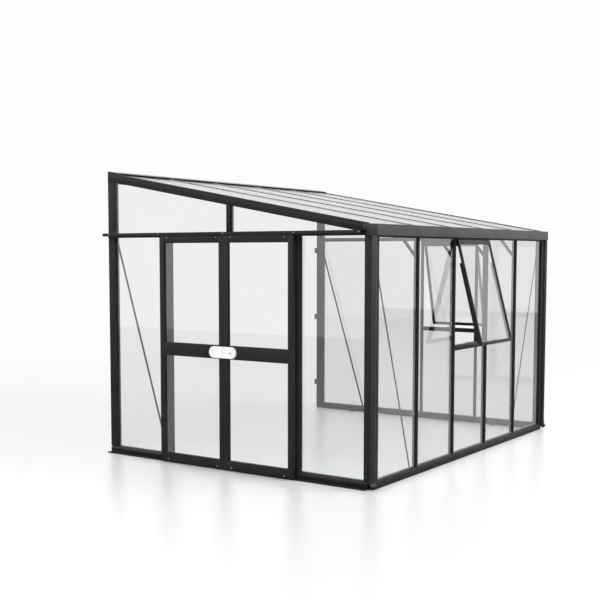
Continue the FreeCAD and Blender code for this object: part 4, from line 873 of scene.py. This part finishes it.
def bright_metal(name, colour, roughness):
    """Plated metal, faintly clouded as it comes from the bath."""
    material, tree, shader = new_material(name)
    place, _ = mottled_colour(
        tree, shader.inputs["Base Color"], colour, spread=0.1, size=0.02
    )
    grainy(tree, shader, place, size=0.0015, depth=0.00005, strength=0.2)
    shader.inputs["Metallic"].default_value = 1.0
    shader.inputs["Roughness"].default_value = roughness
    return material


satin_nickel = bright_metal("satin_nickel", knob_colour, roughness=0.42)
eased("lock_knob", satin_nickel, "lock_knob", "steel", 0.0004)

# Hangers, rollers and guides. Steel plates on the backs of the leaves carry
# nylon rollers on the track's ledge; plastic blocks run in the bottom rail.
nylon_colour = (0.022, 0.022, 0.023)
nylon, tree, shader = new_material("black_nylon")
place, _ = mottled_colour(tree, shader.inputs["Base Color"], nylon_colour, spread=0.15, size=0.01)
grainy(tree, shader, place, size=0.001, depth=0.0001, strength=0.1)
shader.inputs["Roughness"].default_value = 0.42
steel_colour = (0.40, 0.40, 0.41)
zinc = bright_metal("zinc_plate", steel_colour, roughness=0.34)
for side in ("left", "right"):
    eased(side + "_door_hangers", zinc, side + "_door", "steel", 0.0004)
    eased(side + "_door_guides", satin_plastic, side + "_door", "dark_plastic", 0.0008)
    for place_name in ("inner", "outer"):
        roller = side + "_door_roller_" + place_name
        eased(roller, nylon, side + "_roller_" + place_name, "roller", 0.0008)

# Screws and bolts. Button-headed screws with a hexagon socket hold the
# tracks and leaves, and hexagon bolts on washers hold the braces and bars.
head_sides = 12
head_edge = 40
small_bolt_limit = 0.0095
far_end_reach = 0.1


def turned_shape(name, profile, sides):
    """A mesh turned about its own axis from a profile of radius and height."""
    work = bmesh.new()
    rings = []
    for radius, height, corners in profile:
        ring = []
        for number in range(sides):
            angle = 2 * math.pi * number / sides
            reach = radius
            if corners:
                part = (angle + math.pi / corners) % (2 * math.pi / corners) - math.pi / corners
                reach = radius * math.cos(math.pi / corners) / math.cos(part)
            ring.append(work.verts.new((reach * math.cos(angle), reach * math.sin(angle), height)))
        rings.append(ring)
    for low, high in zip(rings, rings[1:]):
        for number in range(sides):
            after = (number + 1) % sides
            work.faces.new((low[number], low[after], high[after], high[number]))
    work.faces.new(reversed(rings[0]))
    work.faces.new(rings[-1])
    bmesh.ops.recalc_face_normals(work, faces=work.faces)
    mesh = bpy.data.meshes.new(name)
    work.to_mesh(mesh)
    work.free()
    shape = bpy.data.objects.new(name, mesh)
    bpy.context.scene.collection.objects.link(shape)
    return shape


button_head = turned_shape(
    "button_head",
    [
        (1.0, 0.0, 0),
        (1.0, 0.3, 0),
        (0.9, 0.66, 0),
        (0.68, 0.9, 0),
        (0.5, 1.0, 6),
        (0.46, 0.5, 6),
    ],
    head_sides,
)
hexagon_head = turned_shape(
    "hexagon_head",
    [
        (1.0, 0.0, 0),
        (1.0, 0.22, 0),
        (0.86, 0.26, 0),
        (0.84, 0.26, 6),
        (0.84, 0.9, 6),
        (0.74, 1.0, 0),
    ],
    head_sides,
)

head_tree, start, end = new_tree(
    "fastener_heads",
    [("Head", "Object"), ("Head Scale", "Vector"), ("Material", "Material")],
)
shape = head_tree.nodes.new("GeometryNodeObjectInfo")
aim = head_tree.nodes.new("GeometryNodeInputNamedAttribute")
aim.data_type = "FLOAT_VECTOR"
aim.inputs["Name"].default_value = "aim"
face_out = head_tree.nodes.new("FunctionNodeAlignRotationToVector")
face_out.axis = "Z"
place_heads = head_tree.nodes.new("GeometryNodeInstanceOnPoints")
head_tree.links.new(start.outputs["Head"], shape.inputs["Object"])
head_tree.links.new(aim.outputs["Attribute"], face_out.inputs["Vector"])
head_tree.links.new(start.outputs["Geometry"], place_heads.inputs["Points"])
head_tree.links.new(shape.outputs["Geometry"], place_heads.inputs["Instance"])
head_tree.links.new(face_out.outputs["Rotation"], place_heads.inputs["Rotation"])
head_tree.links.new(start.outputs["Head Scale"], place_heads.inputs["Scale"])
close_tree(head_tree, start, end, place_heads.outputs["Instances"])


def loose_boxes(node):
    """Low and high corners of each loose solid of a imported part."""
    work = merged(node)
    left = set(work.verts)
    boxes = []
    while left:
        found = [left.pop()]
        for vert in found:
            for edge in vert.link_edges:
                other = edge.other_vert(vert)
                if other in left:
                    left.remove(other)
                    found.append(other)
        low = Vector([min(vert.co[axis] for vert in found) for axis in range(3)])
        high = Vector([max(vert.co[axis] for vert in found) for axis in range(3)])
        boxes.append((low, high))
    work.free()
    return boxes


def fasten(name, boxes, head, outwards):
    """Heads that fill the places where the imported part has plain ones."""
    points, aims = [], []
    low, high = boxes[0]
    sizes = sorted(high[axis] - low[axis] for axis in range(3))
    for low, high in boxes:
        size = high - low
        thin = min(range(3), key=lambda axis: size[axis])
        sign = outwards(low, high, thin)
        point = (low + high) / 2
        point[thin] -= sign * size[thin] / 2
        points.append(point)
        aims.append([sign if axis == thin else 0 for axis in range(3)])
    base = bpy.data.meshes.new(name + "_places")
    base.from_pydata(points, [], [])
    marks = base.attributes.new("aim", "FLOAT_VECTOR", "POINT")
    marks.data.foreach_set("vector", [part for aim_at in aims for part in aim_at])
    scale = (sizes[2] / 2, sizes[2] / 2, sizes[0])
    return grown(name, base, head_tree, {"Head": head, "Head Scale": scale, "Material": zinc})


def out_of_door(low, high, thin):
    """The door end's screws face out of the doorway."""
    return -1


def into_room(low, high, thin):
    """Bolts face into the room, so those of the far end face back."""
    if thin == 0 and low.x > far_corner.x - far_end_reach:
        return -1
    return 1


for node, body in (
    ("track_screws", "frame"),
    ("left_door_screws", "left_door"),
    ("right_door_screws", "right_door"),
):
    boxes = loose_boxes(node)
    mesh = fasten(node + "_heads", boxes, button_head, out_of_door)
    settle_shading(mesh, head_edge)
    add_piece(node + "_heads", mesh, body, "steel", node)

bolt_boxes = loose_boxes("frame_bolts")
small = [pair for pair in bolt_boxes if max(pair[1] - pair[0]) < small_bolt_limit]
large = [pair for pair in bolt_boxes if max(pair[1] - pair[0]) >= small_bolt_limit]
both = bmesh.new()
for boxes, tag in ((small, "mullion_bolts"), (large, "brace_bolts")):
    both.from_mesh(fasten(tag, boxes, hexagon_head, into_room))
mesh = bpy.data.meshes.new("bolt_heads")
both.to_mesh(mesh)
both.free()
mesh.materials.append(zinc)
settle_shading(mesh, head_edge)
add_piece("bolt_heads", mesh, "frame", "steel", "frame_bolts")
for shape in (button_head, hexagon_head):
    bpy.data.objects.remove(shape)

# Brackets at the back and anchors on the floor. Angle plates of coated steel
# inside the frame, drilled for their fixing screws.
plate_colour = (0.034, 0.035, 0.037)
plate_coat = powder_coat("plate_powder_coat", plate_colour, roughness=0.45, gloss_level=0.12)
for node in ("wall_brackets", "floor_anchors"):
    eased(node, plate_coat, "frame", "steel", 0.0005)
